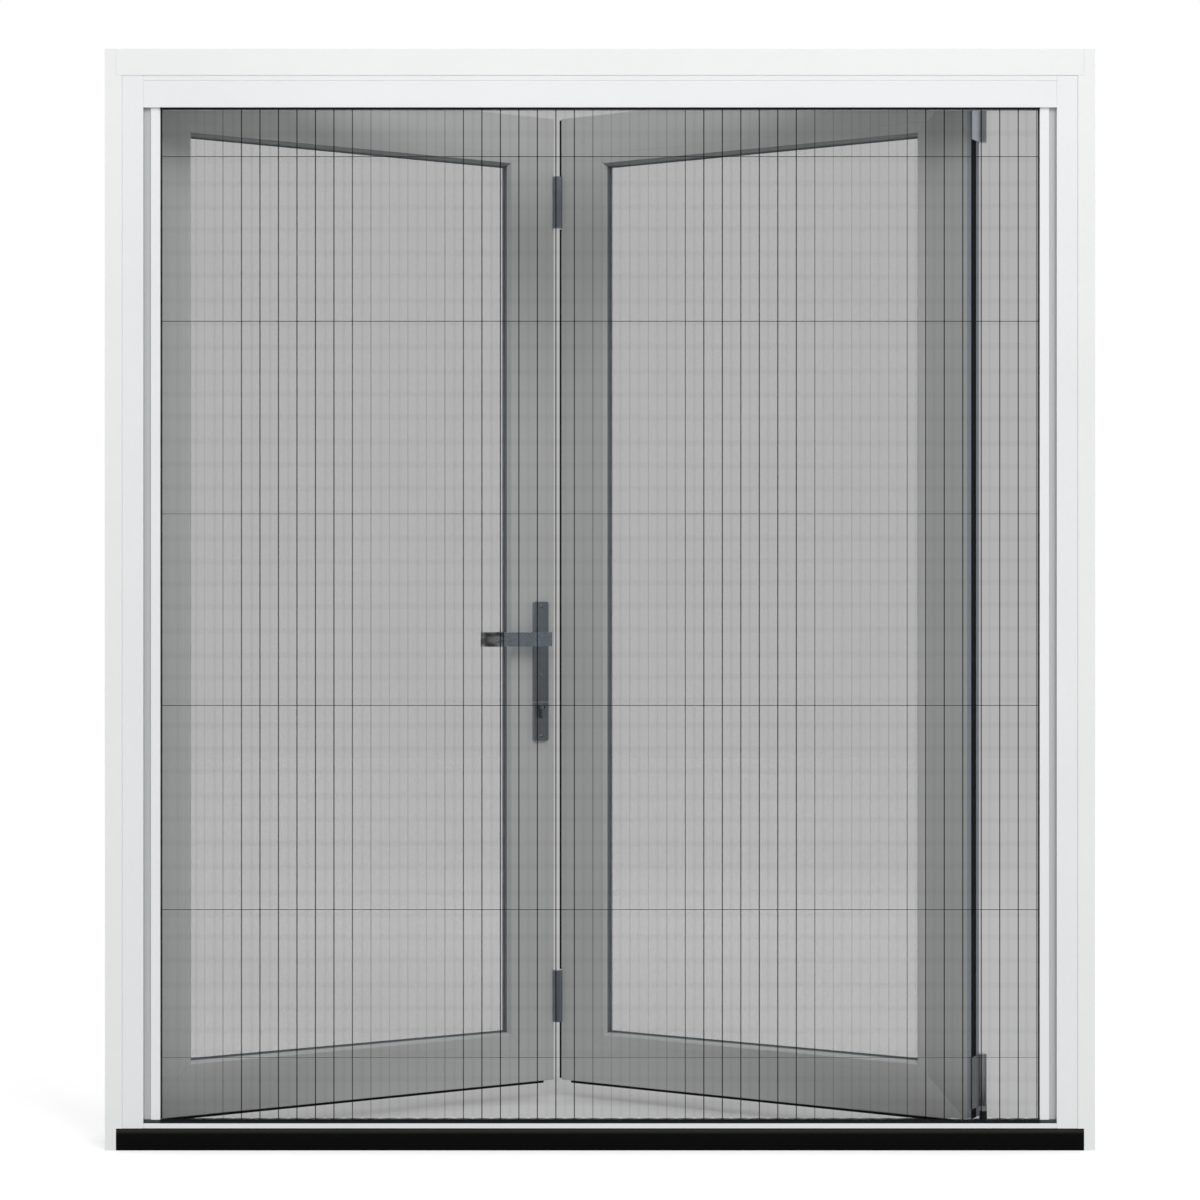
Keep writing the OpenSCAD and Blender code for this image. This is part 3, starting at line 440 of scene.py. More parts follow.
def black_coat(name, rgb, gloss):
    """Matt black coat with fine scuffs and dust where it faces up, and a painted highlight along its upper
    nose.
    """
    f = material(name)
    place = f.place()
    grain = f.noise(place, scale=900.0)
    rubbed = f.noise(f.place(stretch=(3, 40, 40)), scale=6.0, detail=5.0, rough=0.65)
    scuff = f.ramp(rubbed, (0.56, 0.0), (0.74, 1.0))
    facing = f.height(f.add("ShaderNodeNewGeometry", out="Normal"))
    film = f.ramp(f.noise(place, scale=14.0, detail=4.0), (0.25, 0.35), (0.8, 1.0))
    dust = f.smooth(facing, 0.35, 1.0) * film
    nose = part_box("screen_floor_track")[0].z
    # Painted highlight: the top of the sill's nose is painted lighter where its rounded edge catches the
    # light
    nose_dust = f.smooth(f.height(place), nose - NOSE_HIGHLIGHT_DEPTH, nose)
    base = f.tint(scuff * 0.2, rgb["sill_black"], rgb["scuff"])
    base = f.tint(dust * 0.30, base, rgb["dust"])
    return f.surface(
        Base_Color=f.tint(nose_dust * 0.6, base, rgb["nose_dust"]),
        Specular_IOR_Level=0.03,
        Roughness=gloss + scuff * 0.12 + dust * 0.15,
        Normal=f.bump(grain, distance=0.0001),
    )


def rubber(name, colour):
    """Extruded rubber, dull with faint bloom."""
    f = material(name)
    place = f.place()
    bloom = f.ramp(f.noise(place, scale=30.0, detail=4.0), (0.4, 0.0), (0.75, 1.0))
    grain = f.noise(place, scale=1400.0)
    return f.surface(
        Base_Color=f.tint(bloom, colour, tuple(c * 1.4 + 0.002 for c in colour)),
        Roughness=0.62 + bloom * 0.15,
        Specular_IOR_Level=0.04,
        Normal=f.bump(grain, distance=0.00008),
    )


def moulded(name, colour, bands=()):
    """Moulded plastic with a fine spark-eroded grain."""
    f = material(name)
    place = f.place()
    grain = f.noise(place, scale=1100.0, detail=3.0)
    wear = f.ramp(f.noise(place, scale=45.0, detail=4.0), (0.55, 0.0), (0.8, 1.0))
    return f.surface(
        Base_Color=f.banded(f.tint(wear * 0.4, colour, scaled(colour, 1.8)), bands),
        Roughness=0.44 + grain * 0.12,
        Normal=f.bump(grain, distance=0.00010),
    )


def brushed(name, colour, gloss, stretch, turn=0.0, bands=()):
    """Satin steel, brushed along the axis that the stretch leaves long."""
    f = material(name)
    lines = f.noise(f.place(turn, stretch), scale=9.0, detail=5.0, rough=0.62)
    smear = f.noise(f.place(), scale=16.0, detail=3.0)
    base = f.tint(f.ramp(lines, (0.3, 0.0), (0.7, 1.0)), scaled(colour, 0.94), colour)
    base = f.tint(smear * 0.14, base, scaled(colour, 0.72))
    return f.surface(
        Base_Color=f.banded(base, bands),
        Metallic=1.0,
        Roughness=gloss - 0.08 + lines * 0.12 + smear * 0.10,
        Normal=f.bump(lines, distance=0.00004),
    )


def clear_glass(name, colour):
    """Clear pane: it mirrors more the flatter it is looked along, with a faint film."""
    f = material(name)
    film = f.noise(f.place(stretch=(1, 1, 0.5)), scale=2.2, detail=3.0)
    slant = f.add("ShaderNodeLayerWeight", sockets={"Blend": 0.5}, out="Facing")
    return f.surface(
        Base_Color=f.tint(film, scaled(colour, 0.97), colour),
        Metallic=1.0,
        Roughness=0.02 + film * 0.04,
        Alpha=0.004 + film * 0.006 + f.calc("POWER", slant, 5.0) * 0.95,
    )


def mesh_yarn(name, colour, screen):
    """Coated yarn: an open weave across the pleats, closed and darker on each pressed fold, with painted
    shade in a dark line at each end beside the bars.
    """
    f = material(name)
    pleat = f.attribute("pleat")
    rise = f.attribute("rise")
    face = math.hypot(screen.pitch / 2, pleat_depth())
    warp = f.wave(pleat * (face / screen.yarn_pitch))
    weave = warp * 0.3 + f.wave(rise / screen.yarn_pitch) * 0.5
    cloud = f.noise(f.place(), scale=5.0)
    drift = f.noise(f.place(stretch=(0.02, 0, 1)), scale=7.0, detail=1.0)
    weft = f.smooth(f.wave((rise + drift * 0.03) / WEFT_PITCH), 0.45, 1.0)
    front = f.calc("PINGPONG", pleat, 1.0)
    crease = f.smooth(front, 0.72, 1.0) * 0.03
    cover = screen.cover + weave * 0.09 + weft * 0.02 + (cloud - 0.5) * 0.03 + crease
    line = 1.0 - f.smooth(front * face, screen.fold_line * 0.45, screen.fold_line * 1.3)
    swell = 0.5 - f.wave((pleat - PRESS_START) / PRESS_PERIOD) * 0.5
    pressed = 0.2 + f.smooth(swell, 0.05, 0.65) * 0.8
    line = line * pressed * (1.0 - f.smooth(pleat, *FADE) * 0.8)
    # Painted shade: a dark closed line at each end of the mesh, beside the bars
    end_shade = 1.0 - f.smooth(pleat, *END_SHADE_RIGHT) + f.smooth(pleat, *END_SHADE_LEFT)
    line = f.calc("MAXIMUM", line, end_shade)
    return f.surface(
        Base_Color=f.tint(line, colour, scaled(colour, 0.3)),
        Roughness=0.6 + cloud * 0.15,
        Specular_IOR_Level=0.08,
        Alpha=cover + line * (0.97 - screen.cover),
    )


def pile_fibre(name, colour):
    """Dull dark fibres, flecked along the row."""
    f = material(name)
    fleck = f.noise(f.place(), scale=700.0)
    return f.surface(
        Base_Color=f.tint(fleck, scaled(colour, 0.6), scaled(colour, 1.5)),
        Roughness=0.75 + fleck * 0.15,
        Specular_IOR_Level=0.15,
    )


def taut_cord(name, colour):
    """Braided cord; the lowest and one at mid height lie deeper in the pleats and show faintly."""
    f = material(name)
    braid = f.noise(f.place(stretch=(1, 4, 4)), scale=500.0)
    height = f.height(f.place())
    above = f.smooth(height, *LOW_CORD)
    beside = f.smooth(f.calc("ABSOLUTE", height - DEEP_CORD), *DEEP_REACH)
    return f.surface(
        Base_Color=f.tint(braid, scaled(colour, 0.7), scaled(colour, 1.4)),
        Roughness=0.7 + braid * 0.15,
        Specular_IOR_Level=0.04,
        Alpha=0.35 + above * beside * 0.65,
    )


def reaches(node, direction):
    """How far a CAD node reaches along a direction, at least and at most."""
    along = [v.co.dot(Vector(direction)) for v in frame["nodes"][node].data.vertices]
    return min(along), max(along)


def bead_bands(leaf, side, rgb):
    """Painted shade: gasket grey over the side of a leaf's beads that meets the glass, where shade falls in
    the reveal.
    """
    inward = (side * math.sin(LEAF_ANGLE), math.cos(LEAF_ANGLE), 0)
    face = reaches(leaf + "_beads", inward)[0]
    return [(inward, face + REVEAL_SHADE_START, SOFT, rgb["gasket"])]


def bar_bands(node, side, rgb):
    """Painted shade over the part of a screen bar that runs in the side profile, where shade falls in the
    recess.
    """
    low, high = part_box(node)
    face = min(abs(low.x), abs(high.x)) + BAR_FACE
    return [((side, 0, 0), face, SOFT, rgb["tongue"])]


def lever_bands(node, turn, rgb):
    """A lever's return: painted shade in a dark crease, then painted reflections in bright and dark gleams.
    """
    along = (-math.cos(turn), -math.sin(turn), 0)
    low, high = reaches(node, along)
    crease = high - (high - low) * RETURN_SHARE - HAIR

    # Painted reflection: noise patches between dark and bright over the return
    def gleam(f):
        spots = f.noise(f.place(turn, (1, 1, 2.2)), scale=44.0, detail=0.0)
        return f.tint(f.ramp(spots, (0.36, 0.0), (0.62, 1.0)), rgb["mirror_dark"], rgb["mirror_bright"])

    return [(along, crease - CREASE_WIDTH, HAIR, rgb["lever_crease"]), (along, crease, HAIR, gleam)]


def plate_bands(rgb):
    """The inside backplate: bluer towards its top, with a painted highlight just above the lock cylinder.
    """
    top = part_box("inside_backplate")[1].z
    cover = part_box("lock_cylinder")[1].z
    return [
        (UP, cover, top - cover, scaled(rgb["lever_steel"], PLATE_TOP_SHADE)),
        # Painted highlight just above the cylinder
        (DOWN, -cover - COVER_HIGHLIGHT_WIDTH - HAIR, HAIR, rgb["cover_edge"]),
        (DOWN, -cover - HAIR, HAIR, scaled(rgb["handle_steel"], COVER_SHADE)),
    ]


def carriage_bands(rgb):
    """The plates at the free edge: painted shade darkens the lower one, and painted highlights brighten the
    knuckles.
    """
    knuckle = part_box("guide_pin")[0].x
    return [(DOWN, -SHADE_TOP, SHADE_LENGTH, rgb["plate_shade"]), (RIGHT, knuckle, SOFT, rgb["knuckle"])]


FINISHES = {}
OWN_FINISH = {
    "inside_lever": "inside_lever",
    "outside_lever": "lever_steel",
    "inside_backplate": "plate_steel",
    "handle_screws": "handle_steel",
    "screen_fixed_bar": "screen_fixed_bar_coat",
    "screen_pull_bar": "screen_pull_bar_coat",
    "screen_floor_track": "floor_track",
    "lead_leaf_closing_stile": "closing_edge",
    "screen_cords": "cord_yarn",
    "jamb_leaf_beads": "jamb_leaf_bead",
    "lead_leaf_beads": "lead_leaf_bead",
    "carriage_hinge_leaves": "carriage_plate",
    "guide_pin": "pin_zinc",
    "carriage_block": "carriage",
}


def make_finishes(finishes, screen):
    """One material for each of the record's slots, and one for each piece with a look of its own."""
    rgb = {k: tuple(getattr(finishes, k)) for k in finishes.__annotations__ if not k.endswith("gloss")}
    for makers in (coats(finishes, rgb), steels(finishes, rgb), soft_finishes(rgb, screen)):
        for name, (maker, *values) in makers.items():
            FINISHES[name] = maker(name, *values)


def coats(finishes, rgb):
    """The makers of the powder coats."""
    paint = finishes.paint_gloss
    sleek = paint - SLEEKER
    screen, leaf = rgb["screen_white"], rgb["leaf_white"]
    # Painted shade: the lead leaf's closing stile is painted darker, and its end face blue-grey
    closing = ((math.cos(LEAF_ANGLE), -math.sin(LEAF_ANGLE), 0), CLOSING_FACING, rgb["closing_edge"])
    under = (DOWN, UNDER_FACING, rgb["bead_shade"])
    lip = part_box("screen_floor_track")[0].y + TRACK_LIP
    track = [(BACK, lip, TRACK_BLEND, rgb["track_shade"])]
    return {
        "frame_white": (powder_coat, rgb["frame_white"], paint),
        "screen_white": (powder_coat, screen, sleek),
        "screen_fixed_bar_coat": (powder_coat, screen, sleek, None, bar_bands("screen_fixed_bar", -1, rgb)),
        "screen_pull_bar_coat": (powder_coat, screen, sleek, None, bar_bands("screen_pull_bar", 1, rgb)),
        "floor_track": (powder_coat, screen, sleek, None, track),
        "leaf_white": (powder_coat, leaf, paint),
        "closing_edge": (powder_coat, scaled(leaf, CLOSING_SHADE), paint, closing),
        "jamb_leaf_bead": (powder_coat, leaf, paint, under, bead_bands("jamb_leaf", -1, rgb)),
        "lead_leaf_bead": (powder_coat, leaf, paint, under, bead_bands("lead_leaf", 1, rgb)),
        "sill_black": (black_coat, rgb, finishes.sill_gloss),
    }


def steels(finishes, rgb):
    """The makers of the metals: the leaves' steel is turned with them."""
    steel = finishes.steel_gloss
    sleek = steel - SLEEKER
    swing = LEAF_ANGLE
    rod, bar, plate, even = (2, 160, 160), (2, 60, 160), (160, 160, 2), (40, 40, 40)
    gleams = lever_bands("inside_lever", swing, rgb)
    return {
        "spacer_metal": (brushed, rgb["aluminium"], finishes.spacer_gloss, even),
        "track_metal": (brushed, rgb["aluminium"], finishes.track_gloss, rod),
        "hinge_steel": (brushed, rgb["hinge_steel"], steel, plate, swing),
        "handle_steel": (brushed, rgb["handle_steel"], steel, plate, swing),
        "plate_steel": (brushed, rgb["handle_steel"], steel, plate, swing, plate_bands(rgb)),
        "lever_steel": (brushed, rgb["lever_steel"], sleek, bar, swing),
        "inside_lever": (brushed, rgb["lever_steel"], sleek, bar, swing, gleams),
        "carriage_plate": (brushed, rgb["carriage_steel"], steel, plate, -swing, carriage_bands(rgb)),
        "pin_zinc": (brushed, rgb["pin_zinc"], steel, plate),
        "bolt_steel": (brushed, rgb["bright_steel"], finishes.bolt_gloss, plate, swing),
    }


def soft_finishes(rgb, screen):
    """The makers of rubber, plastic, yarn, pile and glass."""
    post = [(UP, POST_START, POST_BLEND, rgb["aluminium"])]
    return {
        "seal_rubber": (rubber, rgb["rubber"]),
        "gasket_rubber": (rubber, rgb["gasket"]),
        "brush_pile": (pile_fibre, rgb["pile"]),
        "glider_plastic": (moulded, rgb["plastic"]),
        "carriage": (moulded, rgb["plastic"], post),
        "mesh_yarn": (mesh_yarn, rgb["yarn"], screen),
        "cord_yarn": (taut_cord, rgb["yarn"]),
        "clear_glass": (clear_glass, rgb["glass"]),
    }


def finish_of(node):
    return FINISHES[OWN_FINISH.get(node, NODE_SLOT[node])]


def pleat_depth():
    low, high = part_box("screen_mesh")
    return high.y - low.y - MESH_THICK


def settle(name, mesh, node):
    """A finished piece in the scene, on the body of the CAD node that it replaces, which it hides."""
    piece = bpy.data.objects.new(name, mesh)
    bpy.context.scene.collection.objects.link(piece)
    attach(piece, NODE_BODY[node])
    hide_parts(node)
    return piece


def evaluated(carrier):
    """What an object's modifiers make of it, as a plain mesh."""
    depsgraph = bpy.context.evaluated_depsgraph_get()
    return bpy.data.meshes.new_from_object(
        carrier.evaluated_get(depsgraph), preserve_all_data_layers=True, depsgraph=depsgraph
    )


def applied(mesh, kind, settings):
    """The mesh with a modifier applied."""
    carrier = bpy.data.objects.new("carrier", mesh)
    bpy.context.scene.collection.objects.link(carrier)
    modifier = carrier.modifiers.new(kind.lower(), kind)
    for key, value in settings.items():
        setattr(modifier, key, value)
    result = evaluated(carrier)
    bpy.data.objects.remove(carrier)
    return result


def made(work, name):
    """The mesh of finished bmesh work."""
    mesh = bpy.data.meshes.new(name)
    work.to_mesh(mesh)
    work.free()
    return mesh


def paint_whole(mesh, finish):
    """One material over a whole mesh."""
    mesh.materials.clear()
    mesh.materials.append(finish)
    mesh.polygons.foreach_set("material_index", [0] * len(mesh.polygons))


def eased(node, radius):
    """A copy of a CAD node with its sharp edges rounded, in place of the node."""
    work = bmesh.new()
    work.from_mesh(frame["nodes"][node].data)
    bmesh.ops.remove_doubles(work, verts=work.verts, dist=WELD)
    bmesh.ops.dissolve_limit(
        work, angle_limit=FLAT_ANGLE, verts=work.verts, edges=work.edges, use_dissolve_boundaries=False
    )
    mesh = made(work, node + "_eased")
    paint_whole(mesh, finish_of(node))
    bevel = {
        "width": radius,
        "segments": 2,
        "limit_method": "ANGLE",
        "angle_limit": SHARP_ANGLE,
        "use_clamp_overlap": True,
        "miter_outer": "MITER_ARC",
    }
    mesh = applied(mesh, "BEVEL", bevel)
    mesh.polygons.foreach_set("use_smooth", [True] * len(mesh.polygons))
    mesh.set_sharp_from_angle(angle=SMOOTH_ANGLE)
    mesh = applied(mesh, "WEIGHTED_NORMAL", {"keep_sharp": True, "weight": 100})
    settle(node + "_eased", mesh, node)


def coat(*nodes):
    """CAD nodes that keep their own mesh, each with its finish."""
    for node in nodes:
        paint_whole(frame["nodes"][node].data, finish_of(node))


class Rule(Nodes):
    """A Geometry Nodes tree with named inputs."""

    def __init__(self, name, inputs):
        super().__init__(bpy.data.node_groups.new(name, "GeometryNodeTree"))
        face = self.tree.interface
        face.new_socket("Geometry", in_out="OUTPUT", socket_type="NodeSocketGeometry")
        self.ids = {}
        for label, kind in inputs.items():
            socket = face.new_socket(label, in_out="INPUT", socket_type="NodeSocket" + kind)
            self.ids[label] = socket.identifier
        self.start = self.tree.nodes.new("NodeGroupInput")

    def given(self, label):
        return Value(self, self.start.outputs[label])

    def close(self, geometry):
        """Realized, with the given material, as the tree's result."""
        real = self.add("GeometryNodeRealizeInstances", sockets={0: geometry})
        coated = self.add(
            "GeometryNodeSetMaterial", sockets={"Geometry": real, "Material": self.given("Material")}
        )
        self.add("NodeGroupOutput", sockets={0: coated})

    def grow(self, values):
        """The tree's result for these inputs, as a plain mesh."""
        carrier = bpy.data.objects.new("carrier", bpy.data.meshes.new("carrier"))
        modifier = carrier.modifiers.new("rule", "NODES")
        modifier.node_group = self.tree
        for label, value in values.items():
            modifier[self.ids[label]] = value
        bpy.context.scene.collection.objects.link(carrier)
        mesh = evaluated(carrier)
        bpy.data.objects.remove(carrier)
        return mesh


def pleat_rule():
    """A sheet in zigzag pleats: columns step along X from fold to fold, rows rise along Z."""
    r = Rule(
        "pleated_sheet",
        {
            "Columns": "Int",
            "Rows": "Int",
            "Steps": "Float",
            "Lead": "Float",
            "First": "Float",
            "Last": "Float",
            "Fold X": "Float",
            "Half Pitch": "Float",
            "Front": "Float",
            "Depth": "Float",
            "Bottom": "Float",
            "Height": "Float",
            "Material": "Material",
        },
    )
    rows = r.given("Rows")
    grid = r.add(
        "GeometryNodeMeshGrid", sockets={"Vertices X": r.given("Columns"), "Vertices Y": rows}
    )
    index = r.add("GeometryNodeInputIndex")
    column = r.calc("FLOOR", (index + 0.5) / rows)
    row = index - column * rows
    step = (column - r.given("Lead")) / r.given("Steps")
    pleat = r.calc("MINIMUM", r.calc("MAXIMUM", step, r.given("First")), r.given("Last"))
    rise = row / (rows - 1) * r.given("Height")
    x = r.given("Fold X") - pleat * r.given("Half Pitch")
    y = r.given("Front") + r.calc("PINGPONG", pleat, 1.0) * r.given("Depth")
    z = r.given("Bottom") + rise
    place = r.add("ShaderNodeCombineXYZ", sockets={0: x, 1: y, 2: z})
    moved = r.add("GeometryNodeSetPosition", sockets={"Geometry": grid, "Position": place})
    for name, value in (("pleat", pleat), ("rise", rise)):
        moved = r.add(
            "GeometryNodeStoreNamedAttribute",
            {"data_type": "FLOAT", "domain": "POINT"},
            {"Geometry": moved, "Name": name, "Value": value},
        )
    r.close(moved)
    return r


def pile_rule():
    """Leaning tapered bristles in a row, each spun at random."""
    r = Rule(
        "pile_row",
        {
            "Start": "Vector",
            "Step": "Vector",
            "Count": "Int",
            "Length": "Float",
            "Radius": "Float",
            "Taper": "Float",
            "Lean": "Float",
            "Spin": "Float",
            "Turn": "Vector",
            "Seed": "Int",
            "Material": "Material",
        },
    )
    line = r.add(
        "GeometryNodeMeshLine",
        {"mode": "OFFSET"},
        {"Count": r.given("Count"), "Start Location": r.given("Start"), "Offset": r.given("Step")},
    )
    bristle = r.add(
        "GeometryNodeMeshCone",
        {"fill_type": "NGON"},
        {
            "Vertices": 3,
            "Side Segments": 1,
            "Fill Segments": 1,
            "Radius Top": r.given("Radius") * r.given("Taper"),
            "Radius Bottom": r.given("Radius"),
            "Depth": r.given("Length"),
        },
    )
    lean = r.given("Lean")
    low = r.add("ShaderNodeCombineXYZ", sockets={0: lean * -1.0, 1: lean * -1.0})
    high = r.add("ShaderNodeCombineXYZ", sockets={0: lean, 1: lean, 2: r.given("Spin")})
    tilt = r.add(
        "FunctionNodeRandomValue", {"data_type": "FLOAT_VECTOR"}, {0: low, 1: high, "Seed": r.given("Seed")}
    )
    turned = r.add("ShaderNodeVectorMath", {"operation": "ADD"}, {0: tilt, 1: r.given("Turn")})
    placed = r.add(
        "GeometryNodeInstanceOnPoints",
        sockets={"Points": line, "Instance": bristle, "Rotation": turned},
    )
    r.close(placed)
    return r


def joined(name, meshes, finish):
    """Several meshes as one."""
    work = bmesh.new()
    for mesh in meshes:
        work.from_mesh(mesh)
    result = made(work, name)
    paint_whole(result, finish)
    return result


def box_mesh(low, high, edge):
    """A box with rounded edges between two corners."""
    work = bmesh.new()
    bmesh.ops.create_cube(work, size=1)
    size = high - low
    for v in work.verts:
        v.co = Vector(low[i] + (v.co[i] + 0.5) * size[i] for i in range(3))
    bmesh.ops.bevel(
        work, geom=work.edges[:], offset=edge, offset_type="OFFSET", segments=2, profile=0.5, affect="EDGES"
    )
    return made(work, "box")


class DOOR_OT_frame(bpy.types.Operator):
    """Coats the outer frame and rounds its edges"""

    bl_idname = "door.frame"
    bl_label = "Outer frame"

    edge = 0.0008
    rounded = (
        "left_jamb",
        "right_jamb",
        "head",
        "frame_hinge_leaves",
        "frame_hinge_pins",
        "bolt_keeps",
        "sill",
    )

    def execute(self, context):
        make_finishes(context.scene.door_finishes, context.scene.door_screen)
        for node in self.rounded:
            eased(node, self.edge)
        coat("sill_track", "head_guide", "frame_seals")
        return {"FINISHED"}


class DOOR_OT_leaves(bpy.types.Operator):
    """Coats the two leaves with their beads, glass and seals"""

    bl_idname = "door.leaves"
    bl_label = "Leaves"

    edge = 0.0004
    members = {
        "jamb_leaf": ("hinge_stile", "fold_stile", "top_rail", "bottom_rail", "beads"),
        "lead_leaf": ("fold_stile", "closing_stile", "top_rail", "bottom_rail", "beads"),
    }

    def execute(self, context):
        for leaf, names in self.members.items():
            for name in names:
                eased(f"{leaf}_{name}", self.edge)
            coat(*(f"{leaf}_{name}" for name in ("spacer", "gaskets", "seals")))
            self.sealed_unit(leaf)
        return {"FINISHED"}

    @staticmethod
    def sealed_unit(leaf):
        """Both panes of a leaf as one closed unit, so that a look crosses few faces."""
        node = leaf + "_glass"
        work = bmesh.new()
        for vertex in frame["nodes"][node].data.vertices:
            work.verts.new(vertex.co)
        bmesh.ops.remove_doubles(work, verts=work.verts, dist=WELD)
        hull = bmesh.ops.convex_hull(work, input=work.verts)
        inner = [v for v in hull["geom_interior"] if isinstance(v, bmesh.types.BMVert)]
        bmesh.ops.delete(work, geom=inner, context="VERTS")
        bmesh.ops.dissolve_limit(work, angle_limit=FLAT_ANGLE, verts=work.verts, edges=work.edges)
        bmesh.ops.recalc_face_normals(work, faces=work.faces)
        mesh = made(work, leaf + "_sealed_unit")
        paint_whole(mesh, finish_of(node))
        settle(leaf + "_sealed_unit", mesh, node)


class DOOR_OT_hardware(bpy.types.Operator):
    """Finishes the handle, hinges, bolts and carriage"""

    bl_idname = "door.hardware"
    bl_label = "Hardware"

    handle_edge = 0.0009
    handle = ("inside_lever", "outside_lever", "inside_backplate", "outside_backplate")
    hinge_edge = 0.0005
    hinges = (
        "jamb_leaf_hinge_leaves",
        "fold_hinge_jamb_side",
        "fold_hinge_lead_side",
        "fold_hinge_pins",
        "carriage_hinge_leaves",
        "carriage_block",
    )

    def execute(self, context):
        for node in self.handle:
            eased(node, self.handle_edge)
        for node in self.hinges:
            eased(node, self.hinge_edge)
        coat("handle_screws", "lock_case", "lock_cylinder", "handle_spindle")
        coat("top_shoot_bolt", "bottom_shoot_bolt")
        coat("carriage_axles", "front_wheel", "rear_wheel", "guide_pin", "guide_roller")
        return {"FINISHED"}


class DOOR_OT_screen_frame(bpy.types.Operator):
    """Coats the screen's profiles, bars and gliders"""

    bl_idname = "door.screen_frame"
    bl_label = "Screen frame"

    profile_edge = 0.001
    profiles = ("left_profile", "right_profile", "cassette", "floor_track", "fixed_bar", "pull_bar")
    foot_edge = 0.0006
    feet = ("fixed_feet", "pull_feet")

    def execute(self, context):
        for name in self.profiles:
            eased("screen_" + name, self.profile_edge)
        for name in self.feet:
            eased("screen_" + name, self.foot_edge)
        return {"FINISHED"}


class DOOR_OT_pleated_mesh(bpy.types.Operator):
    """Makes the pleated mesh between the screen's bars"""

    bl_idname = "door.pleated_mesh"
    bl_label = "Pleated mesh"

    steps = 2
    rows = 25
    fold_inset = 0.005

    def execute(self, context):
        screen = context.scene.door_screen
        low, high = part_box("screen_mesh")
        half = screen.pitch / 2
        depth = pleat_depth()
        fold_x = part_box("screen_pull_bar")[0].x - self.fold_inset
        first = (fold_x - high.x) / half
        last = (fold_x - low.x) / half
        lead = math.ceil(-first * self.steps)
        columns = lead + math.ceil(last * self.steps) + 1
        mesh = pleat_rule().grow(
            {
                "Columns": columns,
                "Rows": self.rows,
                "Steps": float(self.steps),
                "Lead": float(lead),
                "First": first,
                "Last": last,
                "Fold X": fold_x,
                "Half Pitch": half,
                "Front": low.y + MESH_THICK / 2,
                "Depth": depth,
                "Bottom": low.z,
                "Height": high.z - low.z,
                "Material": FINISHES["mesh_yarn"],
            }
        )
        sheet = settle("pleated_mesh", mesh, "screen_mesh")
        sheet.visible_shadow = False
        sheet.visible_diffuse = False
        width = high.x - low.x
        1 - SLIDE / width
        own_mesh(sheet)
        return {"FINISHED"}


class DOOR_OT_guide_cords(bpy.types.Operator):
    """Makes the taut cords that run through the pleats"""

    bl_idname = "door.guide_cords"
    bl_label = "Guide cords"

    def execute(self, context):
        low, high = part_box("screen_cords")
        mesh = frame["nodes"]["screen_cords"].data.copy()
        mesh.name = "guide_cords"
        paint_whole(mesh, finish_of("screen_cords"))
        cords = settle("guide_cords", mesh, "screen_cords")
        keep = 1 - SLIDE / (high.x - low.x)
        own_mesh(cords)
        return {"FINISHED"}


class DOOR_OT_pile_brushes(bpy.types.Operator):
    """Makes the pile brushes along the cassette and the bottom track"""

    bl_idname = "door.pile_brushes"
    bl_label = "Pile brushes"

    lower_height = 0.0085
    upper_height = 0.0045
    backing = 0.45
    backing_edge = 0.0003
    rows = 3
    margin = 0.75
    radius = 0.00055
    taper = 0.35
    lean = 0.05
    spin = 3.0
    sunk = 0.0002
    first_seed = 7

    def execute(self, context):
        spacing = context.scene.door_screen.bristle
        low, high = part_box("screen_brushes")
        row_step = (high.y - low.y) / (self.rows - 1 + 2 * self.margin)
        rule = pile_rule()
        parts = []
        for root, tall, way in ((low.z, self.lower_height, 1), (high.z, self.upper_height, -1)):
            tip = root + way * self.backing * tall
            bottom = Vector((low.x, low.y, min(root, tip)))
            top = Vector((high.x, high.y, max(root, tip)))
            parts.append(box_mesh(bottom, top, self.backing_edge))
            for row in range(self.rows):
                x = low.x + spacing * (1 + row / self.rows)
                y = low.y + (row + self.margin) * row_step
                bristles = {
                    "Start": (x, y, tip - way * self.sunk),
                    "Step": (spacing, 0, 0),
                    "Count": int((high.x - low.x) / spacing) - 2,
                    "Length": tall * (1 - self.backing),
                    "Radius": self.radius,
                    "Taper": self.taper,
                    "Lean": self.lean,
                    "Spin": self.spin,
                    "Turn": (0 if way > 0 else math.pi, 0, 0),
                    "Seed": self.first_seed + row,
                    "Material": FINISHES["brush_pile"],
                }
                parts.append(rule.grow(bristles))
        mesh = joined("pile_brushes", parts, FINISHES["brush_pile"])
        settle("pile_brushes", mesh, "screen_brushes")
        return {"FINISHED"}


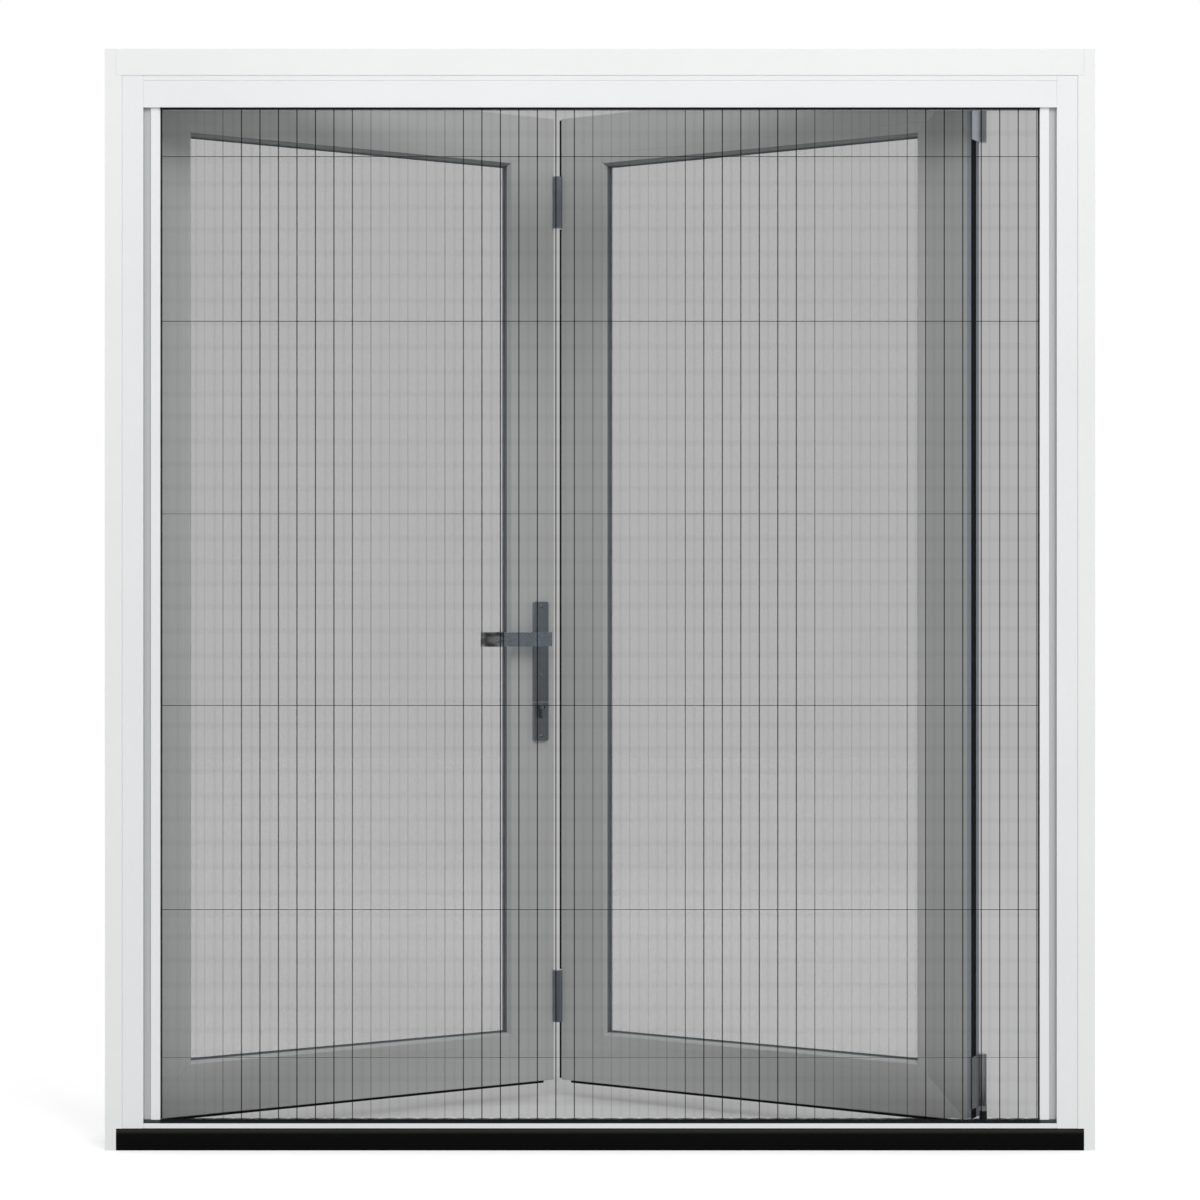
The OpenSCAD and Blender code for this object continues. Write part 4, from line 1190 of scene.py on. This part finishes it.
class DOOR_OT_stage(bpy.types.Operator):
    """Makes the floor, the light and the camera"""

    bl_idname = "door.stage"
    bl_label = "Stage"

    floor_size = 14.0
    floor_greys = (0.84, 0.88)
    floor_glow = (0.36, 0.50)
    glow_reach = (0.8, 9.0)
    sensor = 36
    shift = 0.01
    aim = (0, 0, 1.05)
    lamps = {
        "key": ((5.7, -9.7, 8.2), 6.0),
        "fill": ((-0.3, -3.4, 4.3), 2.6),
        "rear": ((0.6, 4.4, 3.6), 3.0),
    }

    def execute(self, context):
        scene, stage = context.scene, context.scene.door_stage
        self.ground(scene)
        self.sky(scene, stage.ambient)
        for name, (place, size) in self.lamps.items():
            self.lamp(scene, name, place, size, getattr(stage, name))
        camera = bpy.data.cameras.new("camera")
        camera.lens = stage.lens
        camera.sensor_width = self.sensor
        camera.shift_y = self.shift
        viewer = bpy.data.objects.new("camera", camera)
        viewer.location = (0, cad_box[0].y - stage.distance, stage.height)
        viewer.rotation_euler = (math.radians(90), 0, 0)
        scene.collection.objects.link(viewer)
        scene.camera = viewer
        scene.view_settings.view_transform = "Standard"
        return {"FINISHED"}

    def ground(self, scene):
        floor = bpy.data.meshes.new("floor")
        s = self.floor_size
        floor.from_pydata([(-s, -s, 0), (s, -s, 0), (s, s, 0), (-s, s, 0)], [], [(0, 1, 2, 3)])
        floor.materials.append(self.floor_finish())
        ground = bpy.data.objects.new("floor", floor)
        scene.collection.objects.link(ground)

    def floor_finish(self):
        """Pale floor: it reads as the white ground and still takes the door's shadow."""
        f = material("pale_floor")
        seen = self.seen(f)
        grain = f.tint(f.noise(f.place(), scale=60.0), *map(grey, self.floor_greys))
        matt = f.add("ShaderNodeBsdfDiffuse", sockets={"Color": grain})
        far = f.add("ShaderNodeVectorMath", {"operation": "LENGTH"}, {0: f.place()}, out="Value")
        level = f.tint(f.smooth(far, *self.glow_reach), *map(grey, self.floor_glow))
        glow = f.add("ShaderNodeEmission", sockets={"Color": level, "Strength": 1.0})
        lit = f.add("ShaderNodeAddShader", sockets={0: matt, 1: glow})
        shader = f.add("ShaderNodeMixShader", sockets={0: seen, 1: matt, 2: lit})
        f.add("ShaderNodeOutputMaterial", sockets={"Surface": shader})
        return f.owner

    @staticmethod
    def seen(f):
        """1 for what the camera, a reflection or a pane sees."""
        total = f.add("ShaderNodeLightPath", out="Is Camera Ray")
        for ray in ("Is Glossy Ray", "Is Transmission Ray"):
            total = f.calc("MAXIMUM", total, f.add("ShaderNodeLightPath", out=ray))
        return total

    def sky(self, scene, ambient):
        f = Finish(bpy.data.worlds.new("studio"))
        strength = ambient + self.seen(f) * (1.0 - ambient)
        glow = f.add("ShaderNodeBackground", sockets={"Color": (1, 1, 1, 1), "Strength": strength})
        f.add("ShaderNodeOutputWorld", sockets={"Surface": glow})
        scene.world = f.owner

    def lamp(self, scene, name, place, size, power):
        light = bpy.data.lights.new(name, "AREA")
        light.shape = "SQUARE"
        light.size = size
        light.energy = power
        holder = bpy.data.objects.new(name, light)
        holder.location = place
        look = Vector(self.aim) - Vector(place)
        holder.rotation_euler = look.to_track_quat("-Z", "Y").to_euler()
        scene.collection.objects.link(holder)


class DOOR_PT_panel(bpy.types.Panel):
    """Lists the door's steps and settings"""

    bl_label = "Folding door"
    bl_space_type = "VIEW_3D"
    bl_region_type = "UI"
    bl_category = "Door"

    def draw(self, context):
        for step in STEPS:
            self.layout.operator(step.bl_idname)
        for name in GROUPS:
            group = getattr(context.scene, name)
            box = self.layout.box()
            for key in group.__annotations__:
                box.prop(group, key)


STEPS = (
    DOOR_OT_frame,
    DOOR_OT_leaves,
    DOOR_OT_hardware,
    DOOR_OT_screen_frame,
    DOOR_OT_pleated_mesh,
    DOOR_OT_guide_cords,
    DOOR_OT_pile_brushes,
    DOOR_OT_stage,
)
GROUPS = {"door_finishes": DoorFinishes, "door_screen": PleatedScreen, "door_stage": DoorStage}


def register():
    for cls in (*GROUPS.values(), *STEPS, DOOR_PT_panel):
        bpy.utils.register_class(cls)
    for name, group in GROUPS.items():
        setattr(bpy.types.Scene, name, bpy.props.PointerProperty(type=group))


def unregister():
    for name in GROUPS:
        delattr(bpy.types.Scene, name)
    for cls in (DOOR_PT_panel, *reversed(STEPS), *reversed(GROUPS.values())):
        bpy.utils.unregister_class(cls)


def main():
    register()
    for step in STEPS:
        group, name = step.bl_idname.split(".")
        getattr(getattr(bpy.ops, group), name)()


if __name__ == "__main__":
    main()
